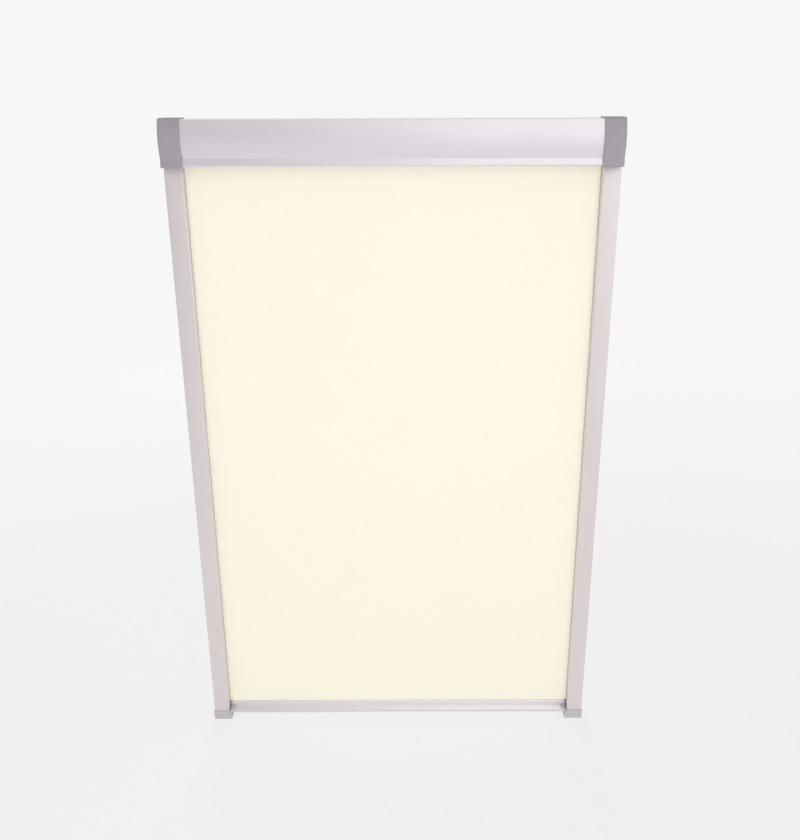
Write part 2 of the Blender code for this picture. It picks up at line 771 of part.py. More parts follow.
def make_fabric_roll(bench, axle):
    """The layers left on the tube, with a step where the sheet leaves them at the back."""
    steps = 36
    outer = []
    for i in range(steps + 1):
        share = i / steps
        radius = ROLL_RADIUS - FABRIC_THICKNESS * share
        turn = math.tau * share
        outer.append((radius * math.cos(turn), radius * math.sin(turn)))
    inner = arc((0, 0), TUBE_RADIUS + GAP, 0, 360 - 360 / steps, steps - 1)
    half = FABRIC_WIDTH / 2
    roll = run("fabric_roll", [outer, inner], "X", -half, half, solid=False)
    roll.location = (0, ROLLER_Y, ROLLER_Z)
    return bench.keep(roll, "fabric", axle)


def key_slot(name, side, start, end):
    """Returns the cutter that lets a plug pass the tube's keyway."""
    half = GROOVE_WIDTH / 2 + TUBE_WALL + PLAY
    floor = TUBE_RADIUS - GROOVE_DEPTH - TUBE_WALL - PLAY
    return box(
        name,
        (side * start, ROLLER_Y - TUBE_RADIUS - PAST, ROLLER_Z - half),
        (side * end, ROLLER_Y - floor, ROLLER_Z + half),
    )


def make_spring_plug(bench, axle):
    """The left plug, which turns on the fixed spindle."""
    bore = SPINDLE_RADIUS + GAP
    profile = [
        (FLANGE_OUTER_X, bore),
        (FLANGE_OUTER_X, FLANGE_RADIUS),
        (FLANGE_INNER_X, FLANGE_RADIUS),
        (FLANGE_INNER_X, PLUG_RADIUS),
        (SPRING_PLUG_INNER_X + PLUG_CHAMFER, PLUG_RADIUS),
        (SPRING_PLUG_INNER_X, PLUG_RADIUS - PLUG_CHAMFER),
        (SPRING_PLUG_INNER_X, bore),
    ]
    plug = turned("spring_plug", -1, profile)
    slot = key_slot("spring_plug_slot", -1, SPRING_PLUG_INNER_X - PAST, FLANGE_INNER_X - GAP / 2)
    bench.cut(plug, slot)
    return bench.keep(plug, "acetal", axle)


def make_idle_plug(bench, axle):
    """The right plug, hollow for the sprung pin."""
    bore = PIN_RADIUS + GAP
    profile = [
        (FLANGE_OUTER_X, bore),
        (FLANGE_OUTER_X, FLANGE_RADIUS),
        (FLANGE_INNER_X, FLANGE_RADIUS),
        (FLANGE_INNER_X, PLUG_RADIUS),
        (IDLE_PLUG_INNER_X + PLUG_CHAMFER, PLUG_RADIUS),
        (IDLE_PLUG_INNER_X, PLUG_RADIUS - PLUG_CHAMFER),
        (IDLE_PLUG_INNER_X, PLUG_CAVITY_RADIUS),
        (PLUG_CAVITY_END_X, PLUG_CAVITY_RADIUS),
        (PLUG_CAVITY_END_X, bore),
    ]
    plug = turned("idle_plug", 1, profile)
    slot = key_slot("idle_plug_slot", 1, IDLE_PLUG_INNER_X - PAST, FLANGE_INNER_X - GAP / 2)
    bench.cut(plug, slot)
    return bench.keep(plug, "acetal", axle)


def make_idle_spring_seat(bench, axle):
    """The ring that backs the pin's spring."""
    hole = PIN_TAIL_RADIUS + PLAY
    rim = PLUG_CAVITY_RADIUS - GAP
    outer_x = IDLE_PLUG_INNER_X + SEAT_THICKNESS
    profile = [
        (outer_x, hole),
        (outer_x, rim),
        (IDLE_PLUG_INNER_X, rim),
        (IDLE_PLUG_INNER_X, hole),
    ]
    return bench.keep(turned("idle_spring_seat", 1, profile), "acetal", axle)


def make_idle_pin(bench, pin_axis):
    """The sprung pin: its tip stands in the right plate's socket."""
    low, high = PIN_COLLAR_X
    profile = [
        (PIN_TIP_X, 0),
        (PIN_TIP_X, PIN_RADIUS - PIN_CHAMFER),
        (PIN_TIP_X - PIN_CHAMFER, PIN_RADIUS),
        (high, PIN_RADIUS),
        (high, PIN_COLLAR_RADIUS),
        (low, PIN_COLLAR_RADIUS),
        (low, PIN_TAIL_RADIUS),
        (PIN_TAIL_END_X, PIN_TAIL_RADIUS),
        (PIN_TAIL_END_X, 0),
    ]
    return bench.keep(turned("idle_pin", 1, profile), "steel", pin_axis)


def make_idle_pin_spring(bench, axle):
    """The spring that keeps the pin out."""
    start = IDLE_PLUG_INNER_X + SEAT_THICKNESS + PIN_SPRING_WIRE + GAP
    end = PIN_COLLAR_X[0] - PIN_SPRING_WIRE - GAP
    spring = coil("idle_pin_spring", start, end, PIN_SPRING_RADIUS, PIN_SPRING_WIRE, PIN_SPRING_TURNS)
    spring.location = (0, ROLLER_Y, ROLLER_Z)
    return bench.keep(spring, "steel", axle)


def make_spring_spindle(bench):
    """The fixed spindle: a flat blade in the left plate, then a round journal and a rod."""
    profile = [
        (SPINDLE_ROUND_X, 0),
        (SPINDLE_ROUND_X, SPINDLE_RADIUS),
        (SPINDLE_NECK_X, SPINDLE_RADIUS),
        (SPINDLE_NECK_X, ROD_RADIUS),
        (ROD_END_X, ROD_RADIUS),
        (ROD_END_X, 0),
    ]
    spindle = turned("spring_spindle", -1, profile)
    blade = box(
        "spindle_blade",
        (-SPINDLE_TIP_X, ROLLER_Y - BLADE_WIDTH / 2, ROLLER_Z - BLADE_THICKNESS / 2),
        (-SPINDLE_ROUND_X + BLADE_ROOT, ROLLER_Y + BLADE_WIDTH / 2, ROLLER_Z + BLADE_THICKNESS / 2),
        BLADE_EDGE,
    )
    trim = rod(
        "spindle_blade_trim",
        "X",
        (ROLLER_Y, ROLLER_Z),
        BLADE_WIDTH / 2,
        -SPINDLE_TIP_X - PAST,
        -SPINDLE_ROUND_X + PAST,
        20,
    )
    keep_inside = blade.modifiers.new("round_blade", "BOOLEAN")
    keep_inside.operation = "INTERSECT"
    keep_inside.solver = "EXACT"
    keep_inside.object = bench.helper(trim)
    bench.join(spindle, blade)
    return bench.keep(spindle, "steel")


def make_spring_anchor(bench):
    """The collar fixed on the spindle, which holds the spring's still end."""
    bore = ROD_RADIUS + GAP
    profile = [
        (ANCHOR_OUTER_X, bore),
        (ANCHOR_OUTER_X, SPRING_COIL_RADIUS),
        (ANCHOR_FACE_X, SPRING_COIL_RADIUS),
        (ANCHOR_FACE_X, SPRING_BOSS_RADIUS),
        (ANCHOR_FACE_X - SPRING_BOSS_LENGTH, SPRING_BOSS_RADIUS),
        (ANCHOR_FACE_X - SPRING_BOSS_LENGTH, bore),
    ]
    return bench.keep(turned("spring_anchor", -1, profile), "nylon")


def make_spring_carrier(bench, axle):
    """The plug keyed into the tube, which winds the spring's other end."""
    bore = ROD_RADIUS + GAP
    profile = [
        (CARRIER_FACE_X + SPRING_BOSS_LENGTH, bore),
        (CARRIER_FACE_X + SPRING_BOSS_LENGTH, SPRING_BOSS_RADIUS),
        (CARRIER_FACE_X, SPRING_BOSS_RADIUS),
        (CARRIER_FACE_X, PLUG_RADIUS),
        (CARRIER_INNER_X, PLUG_RADIUS),
        (CARRIER_INNER_X, bore),
    ]
    carrier = turned("spring_carrier", -1, profile)
    slot = key_slot("spring_carrier_slot", -1, CARRIER_INNER_X - PAST, CARRIER_FACE_X + PAST)
    bench.cut(carrier, slot)
    return bench.keep(carrier, "nylon", axle)


def make_torsion_spring(bench):
    """The long spring that winds the fabric in."""
    end_gap = SPRING_WIRE_RADIUS + GAP
    spring = coil(
        "torsion_spring",
        -ANCHOR_FACE_X + end_gap,
        -CARRIER_FACE_X - end_gap,
        SPRING_COIL_RADIUS,
        SPRING_WIRE_RADIUS,
        SPRING_TURNS,
    )
    spring.location = (0, ROLLER_Y, ROLLER_Z)
    return bench.keep(spring, "steel")


def make_fabric_sheet(bench):
    """The blackout fabric, flat from the roller's back to the bar, its lower corners cut away."""
    top = ROLLER_Z - FABRIC_DROP
    shoulder = BAR_Z + BAR_HEIGHT + FABRIC_CORNER
    bottom = BAR_Z + POCKET_Z + SPLINE_RADIUS + GAP
    wide = FABRIC_WIDTH / 2
    narrow = BAR_END_X - FABRIC_CORNER
    outline = [
        (-wide, top),
        (-wide, shoulder),
        (-narrow, shoulder),
        (-narrow, bottom),
        (narrow, bottom),
        (narrow, shoulder),
        (wide, shoulder),
        (wide, top),
    ]
    half = FABRIC_THICKNESS / 2
    sheet = run("fabric_sheet", [outline], "Y", FABRIC_Y - half, FABRIC_Y + half, solid=False)
    return bench.keep(sheet, "fabric")


def make_channel(bench, name, side):
    """A side channel, extruded in one piece."""
    corner = CHANNEL_CORNER
    outer_x, inner_x = CHANNEL_OUTER_X, CHANNEL_INNER_X
    front = -CHANNEL_DEPTH
    inside_front = front + CHANNEL_WALL
    inside_back = -CHANNEL_WALL
    outline = [(outer_x, 0)]
    outline += arc((outer_x - corner, front + corner), corner, 360, 270, 4)
    edge = CHANNEL_INNER_CORNER
    outline += arc((inner_x + edge, front + edge), edge, 270, 180, 3)
    outline += [
        (inner_x, SLOT_FRONT_Y),
        (GUIDE_INNER_X, SLOT_FRONT_Y),
        (GUIDE_INNER_X, inside_front),
        (GUIDE_OUTER_X, inside_front),
        (GUIDE_OUTER_X, inside_back),
        (GUIDE_INNER_X, inside_back),
        (GUIDE_INNER_X, SLOT_BACK_Y),
        (inner_x, SLOT_BACK_Y),
        (inner_x, 0),
    ]
    chamber = rounded_box_outline(
        (OUTER_CHAMBER_X, inside_front), (outer_x - CHANNEL_WALL, inside_back), CHAMBER_CORNER, 2
    )
    outlines = [[(side * x, y) for x, y in points] for points in (outline, chamber)]
    channel = run(name, outlines, "Z", CHANNEL_BOTTOM_Z, CHANNEL_TOP_Z, solid=False)
    return bench.keep(channel, "aluminium")


def make_light_seal(bench, name, side):
    """The pile strip that closes the channel's slot in front of the fabric."""
    back = FABRIC_Y - FABRIC_THICKNESS / 2 - PLAY
    near = CHANNEL_INNER_X + SEAL_INSET
    seal = box(
        name,
        (side * near, SLOT_FRONT_Y + GAP, CHANNEL_BOTTOM_Z + PAST),
        (side * (near + SEAL_WIDTH), back, CHANNEL_TOP_Z - PAST),
    )
    return bench.keep(seal, "pile")


def make_foot_cap(bench, name, side):
    """The moulded foot, with a toe under the bar and a plug up the channel's outer chamber."""
    outer_x = CHANNEL_OUTER_X + FOOT_PROUD
    inner_x = CHANNEL_INNER_X - FOOT_PROUD
    toe_x = inner_x - FOOT_TOE
    low = FOOT_BOTTOM_Z
    shoulder_z = FOOT_TOP_Z - FOOT_BAND
    tuck_width, tuck_height = FOOT_TOE_TUCK
    outline = arc((outer_x - FOOT_CORNER, low + FOOT_CORNER), FOOT_CORNER, 0, -90, 4)
    outline += quarter((toe_x + tuck_width, low + tuck_height), (-tuck_width, -tuck_height), False)
    outline += quarter((inner_x, shoulder_z - FOOT_SHOULDER), (-FOOT_TOE, FOOT_SHOULDER), True)
    outline += [(inner_x, FOOT_TOP_Z), (outer_x, FOOT_TOP_Z)]
    outline = [(side * x, z) for x, z in outline]
    foot = run(name, [outline], "Y", -CHANNEL_DEPTH - FOOT_PROUD, 0)
    round_edges(foot, FOOT_EDGE, 2, 60)
    root_z = FOOT_TOP_Z - FOOT_SPIGOT_ROOT
    bench.join(foot, channel_spigot(name, side, root_z, FOOT_TOP_Z + SPIGOT_LENGTH))
    return bench.keep(foot, "light_moulding")


def bar_outlines():
    """Returns the bar's section: the wall with its fabric pocket, and the hollow below it."""
    slot = FABRIC_SLOT / 2
    opening = math.degrees(math.asin(slot / POCKET_RADIUS))
    pocket = arc((FABRIC_Y, POCKET_Z), POCKET_RADIUS, 90 - opening, -270 + opening, 12)
    rim = BAR_RIM
    fillet = LEDGE_FILLET
    outline = [(BAR_BACK_Y, 0), (BAR_BACK_Y, BAR_HEIGHT), (FABRIC_Y + slot, BAR_HEIGHT)]
    outline += pocket
    outline += [(FABRIC_Y - slot, BAR_HEIGHT)]
    outline += arc((BAR_FRONT_Y + rim, BAR_HEIGHT - rim), rim, 90, 180, 2)
    outline += arc((BAR_FRONT_Y - fillet, LEDGE_TOP + fillet), fillet, 0, -90, 3)
    outline += arc((LEDGE_FRONT_Y + rim, LEDGE_TOP - rim), rim, 90, 180, 2)
    outline += [
        (LEDGE_FRONT_Y, 0),
        (LEDGE_FRONT_Y + LEDGE_WALL, 0),
        (LEDGE_FRONT_Y + LEDGE_WALL, LEDGE_TOP - LEDGE_WALL),
        (BAR_FRONT_Y, LEDGE_TOP - LEDGE_WALL),
        (BAR_FRONT_Y, 0),
    ]
    hollow = rounded_box_outline(
        (BAR_FRONT_Y + BAR_WALL, BAR_WALL),
        (BAR_BACK_Y - BAR_WALL, CHAMBER_TOP),
        BAR_HOLLOW_CORNER,
        2,
    )
    return [outline, hollow]


def make_handle_bar(bench, bar_axis):
    """The extruded bar, its ledge cut back at both ends for the end mouldings."""
    bar = run("handle_bar", bar_outlines(), "X", -BAR_END_X, BAR_END_X)
    bar.location.z = BAR_Z
    notch_top = BAR_Z + LEDGE_TOP + LEDGE_FILLET + PAST
    for name, side in SIDES.items():
        low_y, high_y = LEDGE_FRONT_Y - PAST, BAR_FRONT_Y - NOTCH_SKIM
        outline = [
            (side * ledge_end_x(low_y), low_y),
            (side * (BAR_END_X + PAST), low_y),
            (side * (BAR_END_X + PAST), high_y),
            (side * ledge_end_x(high_y), high_y),
        ]
        bench.cut(bar, run(f"ledge_notch_{name}", [outline], "Z", BAR_Z - PAST, notch_top))
        hole = rod(
            f"bar_screw_hole_{name}",
            "Y",
            bar_screw_place(side),
            BAR_SCREW_HOLE_RADIUS,
            BAR_BACK_Y - BAR_WALL - PAST,
            BAR_BACK_Y + PAST,
            10,
        )
        bench.cut(bar, hole)
    return bench.keep(bar, "aluminium", bar_axis)


def ledge_end_x(y):
    """Returns how far out the ledge's slanted end is at a depth."""
    share = (BAR_FRONT_Y - y) / (BAR_FRONT_Y - LEDGE_FRONT_Y)
    return LEDGE_END_BACK_X + (LEDGE_END_FRONT_X - LEDGE_END_BACK_X) * share


def bar_screw_place(side):
    """Returns where the screw through the bar's back holds an end moulding, as X and Z."""
    return (side * BAR_SCREW_X, BAR_Z + (BAR_WALL + CHAMBER_TOP) / 2)


def make_bar_end(bench, name, side, bar_axis):
    """The moulding at a bar's end: ledge trim, plug, neck through the slot, and guide shoe."""
    flange_x = BAR_END_X + GAP
    flange_end = flange_x + BAR_FLANGE
    root_x = side * (flange_end - GAP)
    proud_front, proud_top = TRIM_PROUD
    trim_front = LEDGE_FRONT_Y - proud_front
    trim = [
        (BAR_FRONT_Y - GAP, 0),
        (BAR_FRONT_Y - GAP, LEDGE_TOP + TRIM_RISE),
        (trim_front, LEDGE_TOP + proud_top),
        (trim_front, 0),
    ]
    flange = [(BAR_BACK_Y, 0), (BAR_BACK_Y, BAR_HEIGHT), (BAR_FRONT_Y, BAR_HEIGHT)]
    flange += [(BAR_FRONT_Y, LEDGE_TOP + TRIM_RISE)] + trim[2:]
    end = run(name, [flange], "X", side * flange_x, side * flange_end)
    end.location.z = BAR_Z
    block = run(f"{name}_trim", [trim], "X", side * LEDGE_END_BACK_X, root_x)
    block.location.z = BAR_Z
    low_y, high_y = trim_front - PAST, BAR_FRONT_Y + PAST
    slant = [
        (side * (LEDGE_END_BACK_X - PAST), low_y),
        (side * (ledge_end_x(low_y) + GAP), low_y),
        (side * (ledge_end_x(high_y) + GAP), high_y),
        (side * (LEDGE_END_BACK_X - PAST), high_y),
    ]
    slant_top = BAR_Z + LEDGE_TOP + TRIM_RISE + PAST
    bench.cut(block, run(f"{name}_slant", [slant], "Z", BAR_Z - PAST, slant_top))
    bench.join(end, block)
    plug = box(
        f"{name}_plug",
        (side * BAR_PLUG_END_X, BAR_FRONT_Y + BAR_WALL + GAP, BAR_Z + BAR_WALL + GAP),
        (root_x, BAR_BACK_Y - BAR_WALL - GAP, BAR_Z + CHAMBER_TOP - GAP),
    )
    bench.join(end, plug)
    neck = box(
        f"{name}_neck",
        (side * (flange_x + GAP), NECK_FRONT_Y, BAR_Z + SHOE_BOTTOM + NECK_INSET),
        (side * (SHOE_INNER_X + NECK_ROOT), NECK_BACK_Y, BAR_Z + SHOE_TOP - NECK_INSET),
    )
    bench.join(end, neck)
    bench.join(end, guide_shoe(name, side))
    cut_brake_seat(bench, end, side)
    screw_hole = rod(
        f"{name}_screw_hole",
        "Y",
        bar_screw_place(side),
        BAR_SCREW_HOLE_RADIUS,
        BAR_SCREW_FRONT_Y - BAR_RIM,
        BAR_BACK_Y,
        10,
    )
    bench.cut(end, screw_hole)
    return bench.keep(end, "light_moulding", bar_axis)


def guide_shoe(name, side):
    """Returns the shoe that fills the guide chamber, with a leg up the chamber's front half."""
    outline = [
        (SHOE_BACK_Y, SHOE_BOTTOM),
        (SHOE_BACK_Y, SHOE_TOP),
        (LEG_BACK_Y, SHOE_TOP),
        (LEG_BACK_Y, LEG_TOP),
        (SHOE_FRONT_Y, LEG_TOP),
        (SHOE_FRONT_Y, SHOE_BOTTOM),
    ]
    shoe = run(f"{name}_shoe", [outline], "X", side * SHOE_INNER_X, side * SHOE_OUTER_X)
    shoe.location.z = BAR_Z
    return round_edges(shoe, SHOE_EDGE, 1, 60)


def cut_brake_seat(bench, end, side):
    """Cuts the pad's pocket and the spring's bore out of a shoe's leg."""
    pad_back = SHOE_OUTER_X - PAD_SIZE[0] - PAD_TRAVEL - PLAY
    half_y = PAD_SIZE[1] / 2 + GAP
    half_z = PAD_SIZE[2] / 2 + GAP
    pocket = box(
        f"{end.name}_pocket",
        (side * pad_back, BRAKE_Y - half_y, BAR_Z + BRAKE_Z - half_z),
        (side * (SHOE_OUTER_X + PAST), BRAKE_Y + half_y, BAR_Z + BRAKE_Z + half_z),
    )
    bench.cut(end, pocket)
    bore = rod(
        f"{end.name}_bore",
        "X",
        (BRAKE_Y, BAR_Z + BRAKE_Z),
        BRAKE_BORE_RADIUS,
        side * BRAKE_BORE_END_X,
        side * (pad_back + PAST),
        12,
    )
    bench.cut(end, bore)


def make_bar_screw(bench, name, side, bar_axis):
    """The short screw through the bar's back into an end moulding's plug."""
    place = bar_screw_place(side)
    radius, depth = BAR_SCREW_RECESS
    screw = rod(name, "Y", place, BAR_SCREW_RADIUS, BAR_SCREW_FRONT_Y, BAR_SCREW_BACK_Y, 10)
    recess = rod(
        f"{name}_recess", "Y", place, radius, BAR_SCREW_BACK_Y - depth, BAR_SCREW_BACK_Y + PAST, 6
    )
    bench.cut(screw, recess)
    return bench.keep(screw, "steel", bar_axis)


def make_bar_spline(bench, bar_axis):
    """The rod that keeps the fabric's hem in the bar's pocket."""
    half = BAR_END_X - FABRIC_CORNER
    place = (FABRIC_Y, BAR_Z + POCKET_Z)
    spline = rod("bar_spline", "X", place, SPLINE_RADIUS, -half, half, 10)
    return bench.keep(spline, "vinyl", bar_axis)


def make_brake_pad(bench, name, side, pad_axis):
    """The felt pad that rubs on the channel's inner wall."""
    outer_x = GUIDE_OUTER_X - GAP
    half_y, half_z = PAD_SIZE[1] / 2, PAD_SIZE[2] / 2
    pad = box(
        name,
        (side * (outer_x - PAD_SIZE[0]), BRAKE_Y - half_y, BAR_Z + BRAKE_Z - half_z),
        (side * outer_x, BRAKE_Y + half_y, BAR_Z + BRAKE_Z + half_z),
        PAD_EDGE,
    )
    return bench.keep(pad, "felt", pad_axis)


def make_brake_spring(bench, name, side, bar_axis):
    """The spring behind a brake pad."""
    clear = BRAKE_SPRING_WIRE + GAP
    start = BRAKE_BORE_END_X + clear
    end = GUIDE_OUTER_X - GAP - PAD_SIZE[0] - clear
    spring = coil(
        name, side * start, side * end, BRAKE_SPRING_RADIUS, BRAKE_SPRING_WIRE, BRAKE_SPRING_TURNS
    )
    spring.location = (0, BRAKE_Y, BAR_Z + BRAKE_Z)
    return bench.keep(spring, "steel", bar_axis)


def make_frame(bench):
    """Builds everything that stays still on the window."""
    make_cassette_shell(bench)
    make_spring_spindle(bench)
    make_spring_anchor(bench)
    make_torsion_spring(bench)
    make_fabric_sheet(bench)
    sockets = {"left": "blade", "right": "round"}
    for name, side in SIDES.items():
        make_end_cap(bench, f"end_cap_{name}", side)
        make_end_plate(bench, f"end_plate_{name}", side, sockets[name])
        for port, place in port_places().items():
            make_end_screw(bench, f"end_plate_screw_{name}_{port}", side, place)
        make_channel(bench, f"side_channel_{name}", side)
        make_light_seal(bench, f"light_seal_{name}", side)
        make_foot_cap(bench, f"foot_cap_{name}", side)


def make_roller(bench):
    """Builds the sprung roller on its axle."""
    axle = bench.axis("roller_axis", (0, ROLLER_Y, ROLLER_Z))
    pin_axis = bench.axis("idle_pin_axis", (PIN_TIP_X, ROLLER_Y, ROLLER_Z))
    make_roller_tube(bench, axle)
    make_fabric_key(bench, axle)
    make_fabric_roll(bench, axle)
    make_spring_plug(bench, axle)
    make_spring_carrier(bench, axle)
    make_idle_plug(bench, axle)
    make_idle_spring_seat(bench, axle)
    make_idle_pin_spring(bench, axle)
    make_idle_pin(bench, pin_axis)


def make_bar(bench):
    """Builds the handle bar with its end mouldings and brakes."""
    bar_axis = bench.axis("bar_axis", (0, BAR_FRONT_Y, BAR_Z))
    make_handle_bar(bench, bar_axis)
    make_bar_spline(bench, bar_axis)
    for name, side in SIDES.items():
        pad_place = (side * GUIDE_OUTER_X, BRAKE_Y, BAR_Z + BRAKE_Z)
        pad_axis = bench.axis(f"brake_axis_{name}", pad_place)
        make_bar_end(bench, f"bar_end_{name}", side, bar_axis)
        make_bar_screw(bench, f"bar_screw_{name}", side, bar_axis)
        make_brake_pad(bench, f"brake_pad_{name}", side, pad_axis)
        make_brake_spring(bench, f"brake_spring_{name}", side, bar_axis)


def main():
    """Builds the blind."""
    clear_scene()
    bench = Bench()
    make_frame(bench)
    make_roller(bench)
    make_bar(bench)


main()
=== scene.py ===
"""A skylight window blind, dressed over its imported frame.

Metres, in the blind's own frame: X runs across it, +Y points out of its back, +Z runs up its side
channels, and the origin is the middle of the cassette's flat back face.
"""

import json
import logging
import math
import random
from dataclasses import dataclass, replace
from enum import Enum
from functools import partial, reduce

import bmesh
import bpy
from mathutils import Euler, Matrix, Vector


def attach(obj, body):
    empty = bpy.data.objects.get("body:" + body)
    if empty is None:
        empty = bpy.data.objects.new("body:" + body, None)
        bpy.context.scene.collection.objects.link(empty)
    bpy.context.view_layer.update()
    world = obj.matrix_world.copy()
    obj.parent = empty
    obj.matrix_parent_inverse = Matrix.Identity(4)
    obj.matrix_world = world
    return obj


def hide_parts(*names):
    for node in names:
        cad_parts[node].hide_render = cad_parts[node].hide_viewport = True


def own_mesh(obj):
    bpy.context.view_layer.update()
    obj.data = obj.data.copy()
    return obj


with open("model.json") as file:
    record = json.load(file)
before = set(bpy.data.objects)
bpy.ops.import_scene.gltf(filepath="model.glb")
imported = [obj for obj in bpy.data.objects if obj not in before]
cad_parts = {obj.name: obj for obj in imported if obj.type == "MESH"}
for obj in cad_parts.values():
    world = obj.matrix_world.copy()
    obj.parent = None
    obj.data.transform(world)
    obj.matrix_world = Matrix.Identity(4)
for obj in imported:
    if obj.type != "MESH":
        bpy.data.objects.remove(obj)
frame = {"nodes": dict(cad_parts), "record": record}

LOG = logging.getLogger("skylight_blind")

Object = bpy.types.Object
Material = bpy.types.Material
Socket = bpy.types.NodeSocket
Point = tuple[float, float]
Triple = tuple[float, float, float]
Colour = Triple
Outline = list[Point]

MM = 0.001
# The play between faces that touch, and how far a cutter reaches past what it cuts.
GAP = 0.3 * MM
PAST = 1 * MM
# Points this near are one point, and faces turned this little, in radians, are one face.
WELD = 0.001 * MM
FLAT = 0.001
ROD_SIDES = 36
# Edges duller than this, in degrees, are shaded smooth on wires and cloth.
ROUND = 60


def mm(*sizes: float) -> tuple[float, ...]:
    """Returns sizes in millimetres as metres."""
    return tuple(size * MM for size in sizes)


def adjust(target: bpy.types.bpy_struct, **settings: object) -> bpy.types.bpy_struct:
    """Sets several settings of one thing.

    Args:
        target: The curve, modifier, node, lamp or camera.
        **settings: Its settings, by name.

    Returns:
        The same thing.
    """
    for name, value in settings.items():
        setattr(target, name, value)
    return target


def shade(colour: Colour, factor: float) -> tuple[float, float, float, float]:
    """Returns a colour made lighter or darker, as a socket takes it."""
    return (*(min(part * factor, 1.0) for part in colour), 1.0)


class Side(Enum):
    """The two sides of the blind, each with its sign along X."""

    LEFT = -1
    RIGHT = 1

    @property
    def label(self) -> str:
        """The side's name in a node's name."""
        return self.name.lower()

    def span(self, near: float, far: float) -> Point:
        """Returns a span along X on this side, its lower end first."""
        return tuple(sorted((self.value * near, self.value * far)))

    def mirrored(self, outline: Outline) -> Outline:
        """Returns an outline in X and another axis, drawn for the right, on this side."""
        return [(self.value * x, other) for x, other in outline]


class Axis(Enum):
    """The axis that an outline is run along, with the turn that lays the outline across it."""

    X = (math.radians(90), 0.0, math.radians(90))
    Y = (math.radians(90), 0.0, 0.0)
    Z = (0.0, 0.0, 0.0)


class Body(Enum):
    """The bodies that pieces ride on."""

    FRAME = "frame"
    ROLLER = "roller"
    BAR = "bar"
    BRAKE_LEFT = "brake_left"
    BRAKE_RIGHT = "brake_right"


class Slot(Enum):
    """The record's material slots."""

    ALUMINIUM = "satin_aluminium"
    GREY = "grey_moulding"
    LIGHT_GREY = "light_grey_moulding"
    NYLON = "black_nylon"
    ACETAL = "white_acetal"
    STEEL = "zinc_plated_steel"
    FABRIC = "cream_blackout_fabric"
    PILE = "grey_pile"
    FELT = "brake_felt"
    VINYL = "white_vinyl"


class Sum(Enum):
    """The sums that nodes do on values."""

    ADD = "ADD"
    MULTIPLY = "MULTIPLY"
    MAXIMUM = "MAXIMUM"
    SINE = "SINE"


def arc(centre: Point, radius: float | Point, start: float, end: float, steps: int) -> Outline:
    """Draws an arc.

    Args:
        centre: The arc's centre.
        radius: Its radius, or how far it reaches sideways and upright.
        start: Its first angle, in degrees.
        end: Its last angle, in degrees.
        steps: How many straight pieces it has.

    Returns:
        The arc's points, both ends included.
    """
    across, up = radius if isinstance(radius, tuple) else (radius, radius)
    turns = [math.radians(start + (end - start) * i / steps) for i in range(steps + 1)]
    return [(centre[0] + across * math.cos(a), centre[1] + up * math.sin(a)) for a in turns]


def rounded_box(low: Point, high: Point, radius: float, steps: int) -> Outline:
    """Draws a rectangle with round corners.

    Args:
        low: Its lowest corner.
        high: Its highest corner.
        radius: The radius of its corners.
        steps: How many straight pieces each corner has.

    Returns:
        Its points, anticlockwise.
    """
    left, right = low[0] + radius, high[0] - radius
    bottom, top = low[1] + radius, high[1] - radius
    corners = ((right, top), (left, top), (left, bottom), (right, bottom))
    outline = []
    for number, corner in enumerate(corners):
        outline += arc(corner, radius, 90 * number, 90 * number + 90, steps)
    return outline


@dataclass(frozen=True)
class Easing:
    """The rounding of edges: its width, its faces, and the least angle that it rounds."""

    width: float
    segments: int = 3
    angle: float = 30


def link(name: str, data: bpy.types.ID) -> Object:
    """Puts data in the scene.

    Args:
        name: The name of its object.
        data: The mesh, curve, lamp or camera.

    Returns:
        Its new object.
    """
    obj = bpy.data.objects.new(name, data)
    bpy.context.scene.collection.objects.link(obj)
    return obj


def shaped(shape: bmesh.types.BMesh, name: str = "piece") -> Object:
    """Makes a piece of a shape, and frees the shape.

    Args:
        shape: The shape.
        name: The piece's name, where placing it won't name it.

    Returns:
        The piece, its place in its mesh.
    """
    mesh = bpy.data.meshes.new(name)
    shape.to_mesh(mesh)
    shape.free()
    return link(name, mesh)


def settled(obj: Object) -> bpy.types.Mesh:
    """Returns a mesh of what an object looks like with its modifiers."""
    graph = bpy.context.evaluated_depsgraph_get()
    return bpy.data.meshes.new_from_object(obj.evaluated_get(graph))


def modify(obj: Object, kind: str, **settings: object) -> Object:
    """Makes one modifier part of a piece's mesh.

    Args:
        obj: The piece.
        kind: The modifier's type.
        **settings: Its settings, by name.

    Returns:
        The same piece.
    """
    adjust(obj.modifiers.new(kind, kind), **settings)
    mesh = settled(obj)
    obj.modifiers.clear()
    obj.data = mesh
    return obj


def drawn(lines: list[list[Triple]], closed: bool, **settings: object) -> bpy.types.Mesh:
    """Draws lines as a curve.

    Args:
        lines: The points of each line.
        closed: Whether each line ends where it starts.
        **settings: The curve's settings, by name.

    Returns:
        The curve's mesh.
    """
    curve = adjust(bpy.data.curves.new("drawn", "CURVE"), **settings)
    for line in lines:
        spline = curve.splines.new("POLY")
        spline.points.add(len(line) - 1)
        for target, point in zip(spline.points, line):
            target.co = (*point, 1)
        spline.use_cyclic_u = closed
    obj = link("drawn", curve)
    mesh = settled(obj)
    bpy.data.objects.remove(obj, do_unlink=True)
    return mesh


